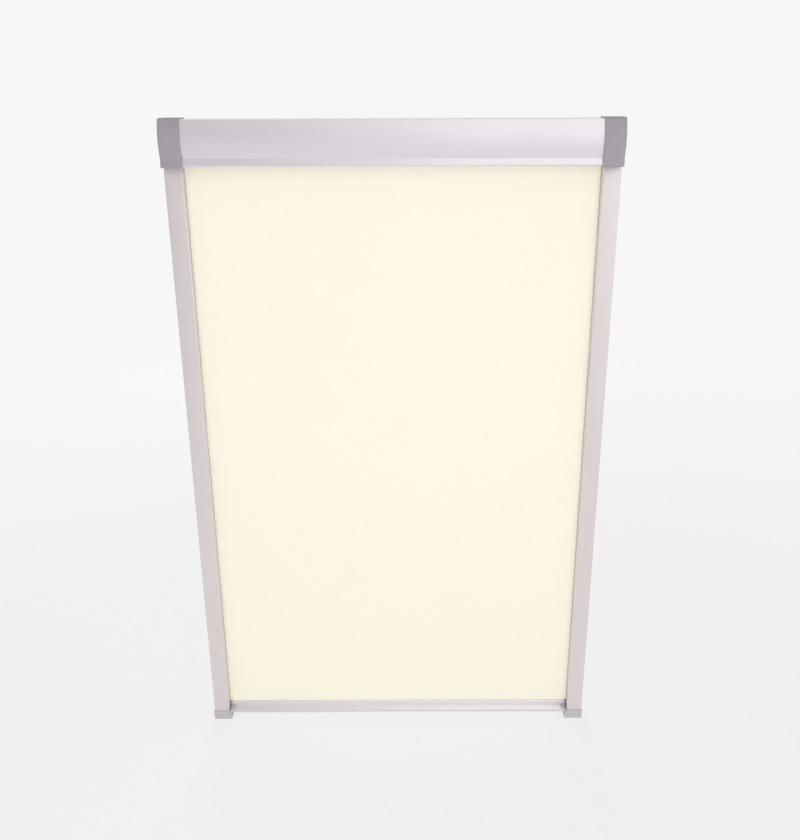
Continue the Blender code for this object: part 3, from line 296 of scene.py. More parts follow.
def extrude(axis: Axis, span: Point, *outlines: Outline) -> Object:
    """Runs an outline along an axis.

    Args:
        axis: The axis.
        span: Where it starts and ends on the axis.
        *outlines: The outline, and after it the holes in it.

    Returns:
        The piece.
    """
    start, end = span
    lines = [[(x, y, 0) for x, y in outline] for outline in outlines]
    half = abs(end - start) / 2
    mesh = drawn(lines, True, dimensions="2D", fill_mode="BOTH", extrude=half)
    middle = [(start + end) / 2 if other is axis else 0 for other in Axis]
    mesh.transform(Matrix.Translation(middle) @ Euler(axis.value).to_matrix().to_4x4())
    shape = bmesh.new()
    shape.from_mesh(mesh)
    verts, edges = shape.verts, shape.edges
    bmesh.ops.remove_doubles(shape, verts=verts, dist=WELD)
    bmesh.ops.dissolve_limit(
        shape, angle_limit=FLAT, verts=verts, edges=edges, delimit={"NORMAL"}
    )
    bmesh.ops.recalc_face_normals(shape, faces=shape.faces)
    return shaped(shape)


def block(side: Side, x: Point, y: Point, z: Point) -> Object:
    """Makes a square block on a side.

    Args:
        side: The side.
        x: Its span along X, drawn for the right.
        y: Its span along Y.
        z: Its span along Z.

    Returns:
        The piece.
    """
    shape = bmesh.new()
    bmesh.ops.create_cube(shape, size=1)
    spans = (side.span(*x), y, z)
    for vert in shape.verts:
        vert.co = [(a + b) / 2 + (b - a) * part for (a, b), part in zip(spans, vert.co)]
    return shaped(shape)


def rod(axis: Axis, span: Point, centre: Point, radius: float) -> Object:
    """Returns a round rod along an axis, its centre given by the other two."""
    return extrude(axis, span, arc(centre, radius, 0, 360 - 360 / ROD_SIDES, ROD_SIDES - 1))


def cut(obj: Object, *cutters: Object) -> Object:
    """Takes the cutters' shapes out of a piece, and removes the cutters.

    Args:
        obj: The piece.
        *cutters: The cutters.

    Returns:
        The same piece.
    """
    for cutter in cutters:
        modify(obj, "BOOLEAN", operation="DIFFERENCE", solver="EXACT", object=cutter)
        bpy.data.objects.remove(cutter, do_unlink=True)
    return obj


def ease(obj: Object, edge: Easing) -> Object:
    """Rounds a piece's edges.

    Args:
        obj: The piece.
        edge: How they are rounded.

    Returns:
        The same piece, shaded smooth.
    """
    eased = modify(
        obj,
        "BEVEL",
        width=edge.width,
        segments=edge.segments,
        limit_method="ANGLE",
        angle_limit=math.radians(edge.angle),
        miter_outer="MITER_ARC",
    )
    return smooth(eased)


def smooth(obj: Object, angle: float = 38) -> Object:
    """Shades a piece smooth.

    Args:
        obj: The piece.
        angle: The least angle of an edge that stays sharp, in degrees.

    Returns:
        The same piece.
    """
    obj.data.shade_smooth()
    obj.data.set_sharp_from_angle(angle=math.radians(angle))
    return obj


def together(*parts: Object) -> Object:
    """Puts several pieces into one, and removes them.

    Args:
        *parts: The pieces.

    Returns:
        The new piece, shaded smooth.
    """
    shape = bmesh.new()
    for part in parts:
        shape.from_mesh(part.data)
        bpy.data.objects.remove(part, do_unlink=True)
    return smooth(shaped(shape))


def wire(points: list[Triple], radius: float) -> Object:
    """Returns a round wire with closed ends that follows points."""
    bevel = {"bevel_depth": radius, "bevel_resolution": 2, "use_fill_caps": True}
    return smooth(link("piece", drawn([points], False, dimensions="3D", **bevel)), ROUND)


def cloth(rows: list[list[Triple]], thickness: float) -> Object:
    """Makes a sheet of cloth from a grid of points on its middle.

    Args:
        rows: The grid's points, row by row.
        thickness: The cloth's thickness.

    Returns:
        The piece, with its thickness.
    """
    shape = bmesh.new()
    grid = [[shape.verts.new(point) for point in row] for row in rows]
    for row, below in zip(grid, grid[1:]):
        for j in range(len(row) - 1):
            shape.faces.new((row[j], row[j + 1], below[j + 1], below[j]))
    bmesh.ops.recalc_face_normals(shape, faces=shape.faces)
    piece = shaped(shape)
    modify(piece, "SOLIDIFY", thickness=thickness, offset=0)
    return smooth(piece, ROUND)


@dataclass(frozen=True)
class CoilSpring:
    """A coil spring along X, its end turns closed.

    Its span is where the middle of its wire starts and ends, and its centre is in Y and Z.
    """

    span: Point
    centre: Point
    radius: float
    wire: float
    turns: int
    steps: int = 14
    closing: float = 2.05

    def wind(self) -> Object:
        """Winds the spring.

        Returns:
            The spring.
        """
        start, end = self.span
        direction = math.copysign(1, end - start)
        closed = self.closing * self.wire
        open_length = abs(end - start) - 2 * closed
        points = []
        for i in range(self.turns * self.steps + 1):
            turn = i / self.steps
            if turn < 1:
                along = closed * turn
            elif turn > self.turns - 1:
                along = closed + open_length + closed * (turn - self.turns + 1)
            else:
                along = closed + open_length * (turn - 1) / (self.turns - 2)
            y = self.centre[0] + self.radius * math.cos(math.tau * turn)
            z = self.centre[1] + self.radius * math.sin(math.tau * turn)
            points.append((start + direction * along, y, z))
        return wire(points, self.wire)


@dataclass(frozen=True)
class Pattern:
    """A pattern of noise.

    It has waves per metre, detail, the share of a shade that it lays over a colour where it is low
    and where it is high, roughness, and a stretch of one over a scale on each axis.
    """

    scale: float
    detail: float = 2
    share: Point = (0, 1)
    rough: float = 0.5
    stretch: Triple = (1, 1, 1)


class NodeDesk:
    """Lays out the nodes of one tree."""

    def __init__(self, tree: bpy.types.NodeTree) -> None:
        """Starts on a tree."""
        self.tree = tree

    def add(self, kind: str, inputs: dict | None = None, **settings: object) -> bpy.types.Node:
        """Adds a node.

        Args:
            kind: The node's type, without the words that every type starts with.
            inputs: What its sockets get: a value, or a socket to link from.
            **settings: Its other settings, by name.

        Returns:
            The node.
        """
        node = adjust(self.tree.nodes.new(f"ShaderNode{kind}"), **settings)
        for name, value in (inputs or {}).items():
            self.feed(node.inputs[name], value)
        return node

    def feed(self, socket: Socket, value: object) -> None:
        """Gives a socket its value.

        Args:
            socket: The socket.
            value: The value, or a socket to link from.
        """
        if isinstance(value, Socket):
            self.tree.links.new(value, socket)
        else:
            socket.default_value = value

    def sum(self, kind: Sum, first: Socket | float, second: Socket | float = 0.0) -> Socket:
        """Returns the outcome of a sum on one or two values."""
        return self.add("Math", {0: first, 1: second}, operation=kind.value).outputs[0]

    def most(self, *values: Socket) -> Socket:
        """Returns the greatest of several values."""
        return reduce(partial(self.sum, Sum.MAXIMUM), values)

    def dot(self, first: Socket, second: Socket | Vector) -> Socket:
        """Returns how far two directions agree, from -1 to 1."""
        node = self.add("VectorMath", {0: first, 1: second}, operation="DOT_PRODUCT")
        return node.outputs["Value"]

    def spread(
        self,
        value: Socket,
        low: float,
        high: Socket | float,
        clip: Point = (0.3, 0.7),
        soft: bool = False,
    ) -> Socket:
        """Spreads a value's range.

        Args:
            value: The value.
            low: What it becomes at the lower clip and below.
            high: What it becomes at the upper clip and above.
            clip: The two clips.
            soft: Whether it eases into both ends.

        Returns:
            The spread value.
        """
        ends = {"From Min": clip[0], "From Max": clip[1], "To Min": low, "To Max": high}
        way = "SMOOTHSTEP" if soft else "LINEAR"
        node = self.add("MapRange", {"Value": value, **ends}, interpolation_type=way)
        return node.outputs["Result"]

    def mix(self, share: Socket, first: Socket, second: Socket) -> Socket:
        """Returns a mix of two shaders, by a share."""
        return self.add("MixShader", {0: share, 1: first, 2: second}).outputs[0]


class ShaderDesk(NodeDesk):
    """Lays out the nodes of one material, with its patterns placed in the blind's own metres."""

    def __init__(self, name: str) -> None:
        """Starts a material with a plain surface.

        Args:
            name: The material's name.
        """
        self.material = adjust(bpy.data.materials.new(name), use_nodes=True)
        super().__init__(self.material.node_tree)
        self.surface = self.tree.nodes["Principled BSDF"]

    def dress(self, **inputs: object) -> Material:
        """Feeds the surface's sockets.

        Args:
            **inputs: What each one gets, its name written with underscores for spaces.

        Returns:
            The material.
        """
        for name, value in inputs.items():
            self.feed(self.surface.inputs[name.replace("_", " ")], value)
        return self.material

    def stretched(self, scale: Triple = (1, 1, 1)) -> Socket:
        """Returns the object's coordinates, stretched by one over a scale on each axis."""
        place = self.add("TexCoord").outputs["Object"]
        return self.add("Mapping", {"Vector": place, "Scale": scale}).outputs["Vector"]

    def noise(self, pattern: Pattern) -> tuple[Socket, Socket]:
        """Lays out a pattern of noise.

        Args:
            pattern: The pattern.

        Returns:
            Its value, from 0 to 1, and the share of a shade that it lays over a colour.
        """
        inputs = {"Vector": self.stretched(pattern.stretch), "Scale": pattern.scale}
        inputs |= {"Detail": pattern.detail, "Roughness": pattern.rough}
        value = self.add("TexNoise", inputs).outputs[0]
        return value, self.spread(value, *pattern.share)

    def layers(self, colour: Colour, shades: tuple[float, ...], *shares: Socket) -> Socket:
        """Lays shades of a colour over each other.

        Args:
            colour: The colour.
            shades: How light the ground is, and each layer over it.
            *shares: How far each layer covers what is under it.

        Returns:
            The layered colour.
        """
        look = shade(colour, shades[0])
        for share, factor in zip(shares, shades[1:]):
            look = self.tint(share, look, shade(colour, factor))
        return look

    def tint(self, share: Socket, first: object, second: object) -> Socket:
        """Returns a mix of two colours, by a share."""
        inputs = {"Factor": share, 6: first, 7: second}
        return self.add("Mix", inputs, data_type="RGBA").outputs[2]

    def mottle(self, first: Socket, second: Socket, span: Point) -> Socket:
        """Returns a roughness that two patterns vary within a span."""
        return self.spread(self.sum(Sum.ADD, first, second), *span, clip=(0.7, 1.3))

    def relief(self, height: Socket, depth: float, strength: float) -> Socket:
        """Returns normals for a relief of a depth in metres."""
        inputs = {"Height": height, "Distance": depth, "Strength": strength}
        return self.add("Bump", inputs).outputs["Normal"]

    def worn_edges(self, radius: float) -> Socket:
        """Finds the edges.

        Args:
            radius: How far an edge reaches, in metres.

        Returns:
            1 on edges and 0 on open faces.
        """
        eased = self.add("Bevel", {"Radius": radius}, samples=4).outputs["Normal"]
        normal = self.add("NewGeometry").outputs["Normal"]
        return self.spread(self.dot(eased, normal), 1, 0, clip=(0.82, 0.99))


@dataclass(frozen=True)
class ExtrudedAluminium:
    """Satin anodised aluminium, with the fine lines that its die drew along it.

    Its shades are those between its lines, on its lines, in its clouds and on its edges.
    """

    name: str
    along: Axis
    colour: Colour = (0.805, 0.77, 0.815)
    shades: tuple[float, ...] = (0.955, 1.03, 0.985, 1.1)
    fine: Pattern = Pattern(1500, 3, (-0.35, 0.35))
    broad: Pattern = Pattern(160, 1, (0.38, 0.62))
    clouds: Pattern = Pattern(7, 2, (0, 0.5))
    stretch: float = 0.006
    edge: float = 0.5 * MM
    relief: Point = (0.012 * MM, 0.5)
    roughness: Point = (0.46, 0.54)
    metallic: float = 0.72

    def make(self) -> Material:
        """Mixes the finish.

        Returns:
            The material.
        """
        desk = ShaderDesk(self.name)
        stretch = tuple(self.stretch if axis is self.along else 1.0 for axis in Axis)
        fine, fine_share = desk.noise(replace(self.fine, stretch=stretch))
        _, broad_share = desk.noise(replace(self.broad, stretch=stretch))
        cloud, cloud_share = desk.noise(self.clouds)
        lines = desk.sum(Sum.ADD, fine_share, broad_share)
        shares = (lines, cloud_share, desk.worn_edges(self.edge))
        return desk.dress(
            Base_Color=desk.layers(self.colour, self.shades, *shares),
            Metallic=self.metallic,
            Roughness=desk.mottle(fine, cloud, self.roughness),
            Normal=desk.relief(fine, *self.relief),
        )


@dataclass(frozen=True)
class MouldedPlastic:
    """A moulded plastic with the fine texture of its mould.

    Its shades are those across its flow, along its flow and in its pits. Its edges have their own.
    """

    name: str
    colour: Colour
    roughness: Point = (0.42, 0.54)
    grain: Pattern = Pattern(2600, 3, (0.4, 0), 0.6)
    relief: Point = (0.03 * MM, 0.45)
    edge_shade: float = 1.16
    flow: Pattern = Pattern(38, 3, stretch=(1, 1, 0.35))
    shades: Triple = (0.965, 1.03, 0.9)
    edge: float = 0.6 * MM
    specular: float = 0.5

    def make(self) -> Material:
        """Mixes the finish.

        Returns:
            The material.
        """
        desk = ShaderDesk(self.name)
        grain, pit_share = desk.noise(self.grain)
        flow, flow_share = desk.noise(self.flow)
        shares = (flow_share, pit_share, desk.worn_edges(self.edge))
        return desk.dress(
            Base_Color=desk.layers(self.colour, (*self.shades, self.edge_shade), *shares),
            Roughness=desk.mottle(grain, flow, self.roughness),
            Normal=desk.relief(grain, *self.relief),
            Specular_IOR_Level=self.specular,
        )


@dataclass(frozen=True)
class BlackoutWeave:
    """A close plain weave with a blackout coating, in one colour.

    Its shades are those beside its slubs, on its slubs, in its clouds and between its threads.
    """

    name: str
    colour: Colour
    warp_pitch: float = 0.42 * MM
    weft_pitch: float = 0.46 * MM
    wander: Pattern = Pattern(90, 1, (-0.9, 0.9))
    slubs: Pattern = Pattern(900, 2, stretch=(0.035, 1, 1))
    clouds: Pattern = Pattern(5, 3, (0, 0.5))
    sunk_share: Point = (0.4, 0)
    shades: tuple[float, ...] = (0.985, 1.012, 0.985, 0.93)
    thread_height: float = 0.5
    relief: Point = (0.05 * MM, 0.5)
    roughness: Point = (0.78, 0.92)

    def threads(self, desk: ShaderDesk) -> Socket:
        """Lays out the weave.

        Args:
            desk: The material's desk.

        Returns:
            Its height, from -1 to 1, where warp and weft take turns on top.
        """
        _, wander = desk.noise(self.wander)
        parts = desk.add("SeparateXYZ", {0: desk.stretched()}).outputs
        across = desk.sum(Sum.MULTIPLY, parts["X"], math.tau / self.warp_pitch)
        run = desk.sum(Sum.ADD, parts["Z"], parts["Y"])
        down = desk.sum(Sum.MULTIPLY, run, math.tau / self.weft_pitch)
        warp, weft = (desk.sum(Sum.SINE, desk.sum(Sum.ADD, way, wander)) for way in (across, down))
        return desk.sum(Sum.MULTIPLY, warp, weft)

    def make(self) -> Material:
        """Mixes the finish.

        Returns:
            The material.
        """
        desk = ShaderDesk(self.name)
        weave = self.threads(desk)
        slub, slub_share = desk.noise(self.slubs)
        _, cloud_share = desk.noise(self.clouds)
        shares = (slub_share, cloud_share, desk.spread(weave, *self.sunk_share, clip=(-1, 1)))
        height = desk.sum(Sum.ADD, desk.sum(Sum.MULTIPLY, weave, self.thread_height), slub)
        return desk.dress(
            Base_Color=desk.layers(self.colour, self.shades, *shares),
            Roughness=desk.spread(slub, *self.roughness),
            Normal=desk.relief(height, *self.relief),
            Sheen_Weight=0.12,
            Sheen_Roughness=0.45,
            Specular_IOR_Level=0.25,
        )


@dataclass(frozen=True)
class Fibres:
    """Short matt fibres, such as felt or brush pile.

    Its shades are those between its strands, on its strands and between its tufts.
    """

    name: str
    colour: Colour
    strands: Pattern = Pattern(3200, 4, rough=0.7)
    tufts: Pattern = Pattern(420, 2, (0, 0.6))
    shades: Triple = (0.6, 1.5, 0.8)
    relief: Point = (0.12 * MM, 0.8)
    roughness: Point = (0.85, 1.0)

    def make(self) -> Material:
        """Mixes the finish.

        Returns:
            The material.
        """
        desk = ShaderDesk(self.name)
        strands, strand_share = desk.noise(self.strands)
        _, tuft_share = desk.noise(self.tufts)
        return desk.dress(
            Base_Color=desk.layers(self.colour, self.shades, strand_share, tuft_share),
            Roughness=desk.spread(strands, *self.roughness),
            Normal=desk.relief(strands, *self.relief),
            Sheen_Weight=0.35,
            Sheen_Roughness=0.6,
            Specular_IOR_Level=0.15,
        )


@dataclass(frozen=True)
class ZincPlate:
    """Bright zinc plate on drawn or turned steel.

    Its shades are those beside its spangles, on its spangles and along its drawing.
    """

    name: str
    colour: Colour = (0.66, 0.67, 0.69)
    spangles: Pattern = Pattern(260, 4, rough=0.6)
    drawing: Pattern = Pattern(2400, 2, (0, 0.4), stretch=(0.05, 1, 1))
    shades: Triple = (0.9, 1.08, 0.8)
    relief: Point = (0.01 * MM, 0.6)
    roughness: Point = (0.22, 0.38)

    def make(self) -> Material:
        """Mixes the finish.

        Returns:
            The material.
        """
        desk = ShaderDesk(self.name)
        spangle, spangle_share = desk.noise(self.spangles)
        drawing, drawing_share = desk.noise(self.drawing)
        return desk.dress(
            Base_Color=desk.layers(self.colour, self.shades, spangle_share, drawing_share),
            Metallic=1.0,
            Roughness=desk.mottle(spangle, drawing, self.roughness),
            Normal=desk.relief(drawing, *self.relief),
        )


@dataclass(frozen=True)
class PaleFloor:
    """A plain pale floor that keeps a soft shadow near the blind and fades into the surround."""

    name: str
    colour: Colour
    surround: Colour
    clouds: Pattern = Pattern(1.5)
    shades: Point = (0.99, 1.01)
    near_share: float = 0.75
    fade: Point = (0.9, 2.5)
    # What metal mirrors of the floor's glow is painted darker towards the left: a painted shade in
    # its reflections.
    mirrored_left: float = 0.86
    mirrored_span: Point = (-1.1, 0.0)

    def make(self) -> Material:
        """Mixes the finish.

        Returns:
            The material.
        """
        desk = ShaderDesk(self.name)
        base = desk.layers(self.colour, self.shades, desk.noise(self.clouds)[0])
        desk.dress(Base_Color=base, Roughness=0.85, Specular_IOR_Level=0.1)
        reach = desk.add("VectorMath", {0: desk.stretched((1, 1, 0))}, operation="LENGTH")
        far = desk.spread(reach.outputs["Value"], 0, 1, clip=self.fade)
        rays = desk.add("LightPath").outputs
        camera = rays["Is Camera Ray"]
        pale = desk.tint(desk.most(far, camera), shade(self.colour, 1), shade(self.surround, 1))
        across = desk.add("SeparateXYZ", {0: desk.stretched()}).outputs["X"]
        # Painted shade: the glow that metal mirrors is dimmer towards the left.
        left = desk.spread(across, self.mirrored_left, 1, clip=self.mirrored_span)
        plain = desk.add("Emission", {"Color": pale, "Strength": desk.most(left, camera)})
        seen = desk.most(camera, rays["Is Glossy Ray"], rays["Is Transmission Ray"])
        share = desk.spread(far, self.near_share, 1, clip=(0, 1))
        share = desk.sum(Sum.MULTIPLY, seen, share)
        mixed = desk.mix(share, desk.surface.outputs[0], plain.outputs[0])
        desk.feed(desk.tree.nodes["Material Output"].inputs["Surface"], mixed)
        return desk.material


# Painted reflection: the uprights' warmer colour stands in for a warm reflection on the same satin
# aluminium as the case.
UPRIGHT_WITH_PAINTED_REFLECTION = ExtrudedAluminium("satin_aluminium_upright", Axis.Z, (0.79, 0.73, 0.74))
# Painted light: the handle's lighter colour stands in for light falling on the same satin aluminium
# as the case.
HANDLE_WITH_PAINTED_LIGHT = ExtrudedAluminium("satin_aluminium_handle", Axis.X, (0.885, 0.86, 0.885), metallic=0.62)
SMOOTH_RELIEF = (0.01 * MM, 0.45)
FINISHES = {
    Slot.ALUMINIUM: ExtrudedAluminium("satin_aluminium_across", Axis.X),
    Slot.GREY: MouldedPlastic("grey_moulding_looks", (0.352, 0.318, 0.36)),
    Slot.LIGHT_GREY: MouldedPlastic("light_grey_moulding_looks", (0.52, 0.50, 0.53), (0.36, 0.5)),
    Slot.NYLON: MouldedPlastic("black_nylon_looks", (0.04, 0.04, 0.045), (0.45, 0.65)),
    Slot.ACETAL: MouldedPlastic(
        "white_acetal_looks",
        (0.80, 0.80, 0.78),
        (0.3, 0.42),
        Pattern(1200, 3, (0.4, 0), 0.6),
        SMOOTH_RELIEF,
        1.05,
    ),
    Slot.STEEL: ZincPlate("zinc_plate_looks"),
    Slot.FABRIC: BlackoutWeave("cream_blackout_weave", (0.95, 0.918, 0.775)),
    Slot.PILE: Fibres(
        "grey_pile_looks", (0.30, 0.30, 0.31), Pattern(3200, 4, rough=0.7, stretch=(1, 0.12, 1))
    ),
    Slot.FELT: Fibres("brake_felt_looks", (0.10, 0.10, 0.11)),
    Slot.VINYL: MouldedPlastic(
        "white_vinyl_looks",
        (0.85, 0.85, 0.82),
        (0.3, 0.45),
        Pattern(900, 3, (0.4, 0), 0.6),
        SMOOTH_RELIEF,
        1.03,
    ),
}


class Dresser:
    """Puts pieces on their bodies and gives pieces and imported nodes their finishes."""

    def __init__(self) -> None:
        """Mixes every finish once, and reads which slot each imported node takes."""
        # The upright finish is warmer by a painted reflection, and the handle finish is lighter by
        # painted light.
        self.upright, self.handle = UPRIGHT_WITH_PAINTED_REFLECTION.make(), HANDLE_WITH_PAINTED_LIGHT.make()
        self.finishes = {slot: finish.make() for slot, finish in FINISHES.items()}
        self.node_slots = {
            entry["node"]: Slot(entry["material_slot"]) for entry in frame["record"]["subparts"]
        }

    def place(
        self,
        piece: Object,
        name: str,
        body: Body,
        slot: Slot,
        *nodes: str,
        side: Side | None = None,
        own: Material | None = None,
    ) -> None:
        """Names and finishes a piece, and puts it on its body.

        Args:
            piece: The piece, in its place.
            name: Its name.
            body: The body that it moves with.
            slot: The material slot that its finish belongs to.
            *nodes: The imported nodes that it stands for.
            side: The side that its name and its nodes end with, if any.
            own: Its own finish, where it isn't the slot's.
        """
        name, *nodes = (f"{word}_{side.label}" if side else word for word in (name, *nodes))
        piece.name = name
        piece.data.materials.clear()
        piece.data.materials.append(own or self.finishes[slot])
        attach(piece, body.value)
        if nodes:
            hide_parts(*nodes)
        LOG.info("%s on %s, for %s", name, body.value, ", ".join(nodes) or "nothing")

    def dress_nodes(self) -> None:
        """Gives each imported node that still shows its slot's finish."""
        for name, node in frame["nodes"].items():
            if node.hide_render:
                continue
            material = self.finishes[self.node_slots[name]]
            for place in node.material_slots:
                place.material = material
            LOG.info("%s keeps its packed shape, in %s", name, material.name)


@dataclass(frozen=True)
class Levels:
    """The sizes that several sub-assemblies share."""

    roller: Point = mm(-22, 6)
    fabric_y: float = -8.675 * MM
    bar: float = -949.5 * MM
    foot_top: float = -946.3 * MM
    foot_bottom: float = -962.5 * MM
    cap_bottom: float = -32.5 * MM


LEVELS = Levels()


@dataclass(frozen=True)
class CaseSection:
    """The cassette's section: a flat back and top, a convex front, a shadow line and a lip."""

    height: float = 62 * MM
    depth: float = 41.5 * MM
    wall: float = 1.5 * MM
    front_radius: float = 63 * MM
    front_middle: float = 2 * MM
    top_edge: float = 3 * MM
    lip_height: float = 11 * MM
    lip_set_back: float = 3.9 * MM
    lip_flare: float = 2.4 * MM
    lip_edge: float = 2 * MM
    line: float = 1.0 * MM
    line_depth: float = 0.3 * MM
    mouth: float = -24 * MM
    hem: Point = mm(1.3, 4)
    path_steps: tuple[int, int, int] = (10, 44, 8)
    port_radius: float = 3.6 * MM
    port_bore: float = 1.8 * MM
    port_inset: float = 2.2 * MM
    port_slit: float = 1.4 * MM
    port_steps: tuple[int, int] = (30, 20)

    def path(self, out: float, with_line: bool) -> Outline:
        """Draws the outside from the top back edge round to the underside.

        Args:
            out: How far outwards the path is moved.
            with_line: Whether it dips into the shadow line.

        Returns:
            The path's points, as Y and Z.
        """
        top = self.height / 2
        front = (self.front_radius - self.depth, self.front_middle)
        rise = top - self.top_edge - self.front_middle
        reach = math.sqrt((self.front_radius - self.top_edge) ** 2 - rise**2)
        edge = (front[0] - reach, top - self.top_edge)
        edge_end = math.degrees(math.atan2(rise, -reach))
        line_z = -top + self.lip_height
        drop = (self.front_middle - line_z) / (self.front_radius + out)
        front_end = 180 + math.degrees(math.asin(drop))
        lip_top = (-self.depth + self.lip_set_back, line_z - self.line)
        slope = math.atan2(self.lip_flare, self.lip_height - self.line)
        normal = (-math.cos(slope), math.sin(slope))
        fall = lip_top[1] + top - self.lip_edge * (1 + normal[1])
        lip = (
            lip_top[0] - fall * math.tan(slope) - normal[0] * self.lip_edge,
            lip_top[1] - fall - normal[1] * self.lip_edge,
        )
        steps = self.path_steps
        path = [(0.0, top + out)]
        path += arc(edge, self.top_edge + out, 90, edge_end, steps[0])
        path += arc(front, self.front_radius + out, edge_end, front_end, steps[1])[1:]
        if with_line:
            path.append((path[-1][0] + self.line_depth, line_z - self.line / 2))
        path.append((lip_top[0] - out / math.cos(slope), lip_top[1]))
        return path + arc(lip, self.lip_edge + out, 180 - math.degrees(slope), 270, steps[2])

    def shell(self) -> Outline:
        """Draws the case's wall, open at the bottom behind the hem.

        Returns:
            The wall's section.
        """
        low = -self.height / 2
        inner = self.path(-self.wall, False)
        hem_front = self.mouth - self.hem[0]
        hem_top = low + self.hem[1]
        outline = [(0.0, low)] + self.path(0, True)
        outline += [(self.mouth, low), (self.mouth, hem_top), (hem_front, hem_top)]
        outline += [(hem_front, inner[-1][1]), *reversed(inner[1:])]
        return outline + [(-self.wall, -low - self.wall), (-self.wall, low)]

    def ports(self) -> list[Outline]:
        """Draws the three split screw ports.

        Returns:
            Their sections.
        """
        inset = self.wall + self.port_inset
        high = self.height / 2 - inset
        reach = math.sqrt((self.front_radius - inset) ** 2 - (high - self.front_middle) ** 2)
        front = self.front_radius - self.depth - reach
        lip = -self.depth + self.lip_set_back - self.lip_flare / 2 + inset
        return [self.port(place) for place in ((-inset, high), (front, high), (lip, -high))]

    def port(self, centre: Point) -> Outline:
        """Draws one port, its slit towards the roller.

        Args:
            centre: The port's centre.

        Returns:
            Its section.
        """
        y, z = LEVELS.roller
        towards = math.degrees(math.atan2(z - centre[1], y - centre[0]))
        half = self.port_slit / 2
        wide = math.degrees(math.asin(half / self.port_bore))
        narrow = math.degrees(math.asin(half / self.port_radius))
        start, end = towards + narrow, towards + 360 - narrow
        outer = arc(centre, self.port_radius, start, end, self.port_steps[0])
        start, end = towards + 360 - wide, towards + wide
        return outer + arc(centre, self.port_bore, start, end, self.port_steps[1])


@dataclass
class Cassette:
    """The case across the top, with its end covers."""

    dresser: Dresser
    section: CaseSection = CaseSection()
    end: float = 309 * MM
    edge: Easing = Easing(0.18 * MM, 2, 25)
    cap: Point = mm(288.5, 318)
    cap_proud: float = 1.5 * MM
    cap_wall: float = 1.5 * MM
    cap_edge: Easing = Easing(0.7 * MM, 5, 32)
    cap_mouth: float = -23 * MM
    cap_past: float = 5 * MM
    peg_radius: float = 1.5 * MM
    peg_places: tuple[Point, ...] = (mm(-12, -20), mm(-22, 24.5))
    peg_start: float = 310.3 * MM

    def build(self) -> None:
        """Builds the case and both covers."""
        self.build_case()
        for side in Side:
            self.build_cover(side)

    def build_case(self) -> None:
        """Builds the extruded case, with its screw ports."""
        span = (-self.end, self.end)
        case, *ports = (
            extrude(Axis.X, span, outline)
            for outline in (self.section.shell(), *self.section.ports())
        )
        case = together(ease(case, self.edge), *ports)
        self.dresser.place(case, "case_extrusion", Body.FRAME, Slot.ALUMINIUM, "cassette_shell")

    def build_cover(self, side: Side) -> None:
        """Builds a moulded cover that sleeves the case's end.

        Args:
            side: The case's end.
        """
        near, far = self.cap
        outline = self.section.path(self.cap_proud, False) + [(0.0, LEVELS.cap_bottom)]
        cover = ease(extrude(Axis.X, side.span(near, far), outline), self.cap_edge)
        past, mouth_y, mouth_z = self.cap_past, self.cap_mouth, LEVELS.cap_bottom - self.cap_past
        sleeve = self.section.path(GAP, False)
        hollow = [(past, sleeve[0][1]), *sleeve, (mouth_y, sleeve[-1][1])]
        hollow += [(mouth_y, mouth_z), (past, mouth_z)]
        cut(cover, extrude(Axis.X, side.span(near - past, far - self.cap_wall), hollow))
        span = side.span(self.peg_start, far - self.cap_wall / 2)
        pegs = [rod(Axis.X, span, place, self.peg_radius) for place in self.peg_places]
        cover = together(cover, *pegs)
        self.dresser.place(cover, "end_cover", Body.FRAME, Slot.GREY, "end_cap", side=side)


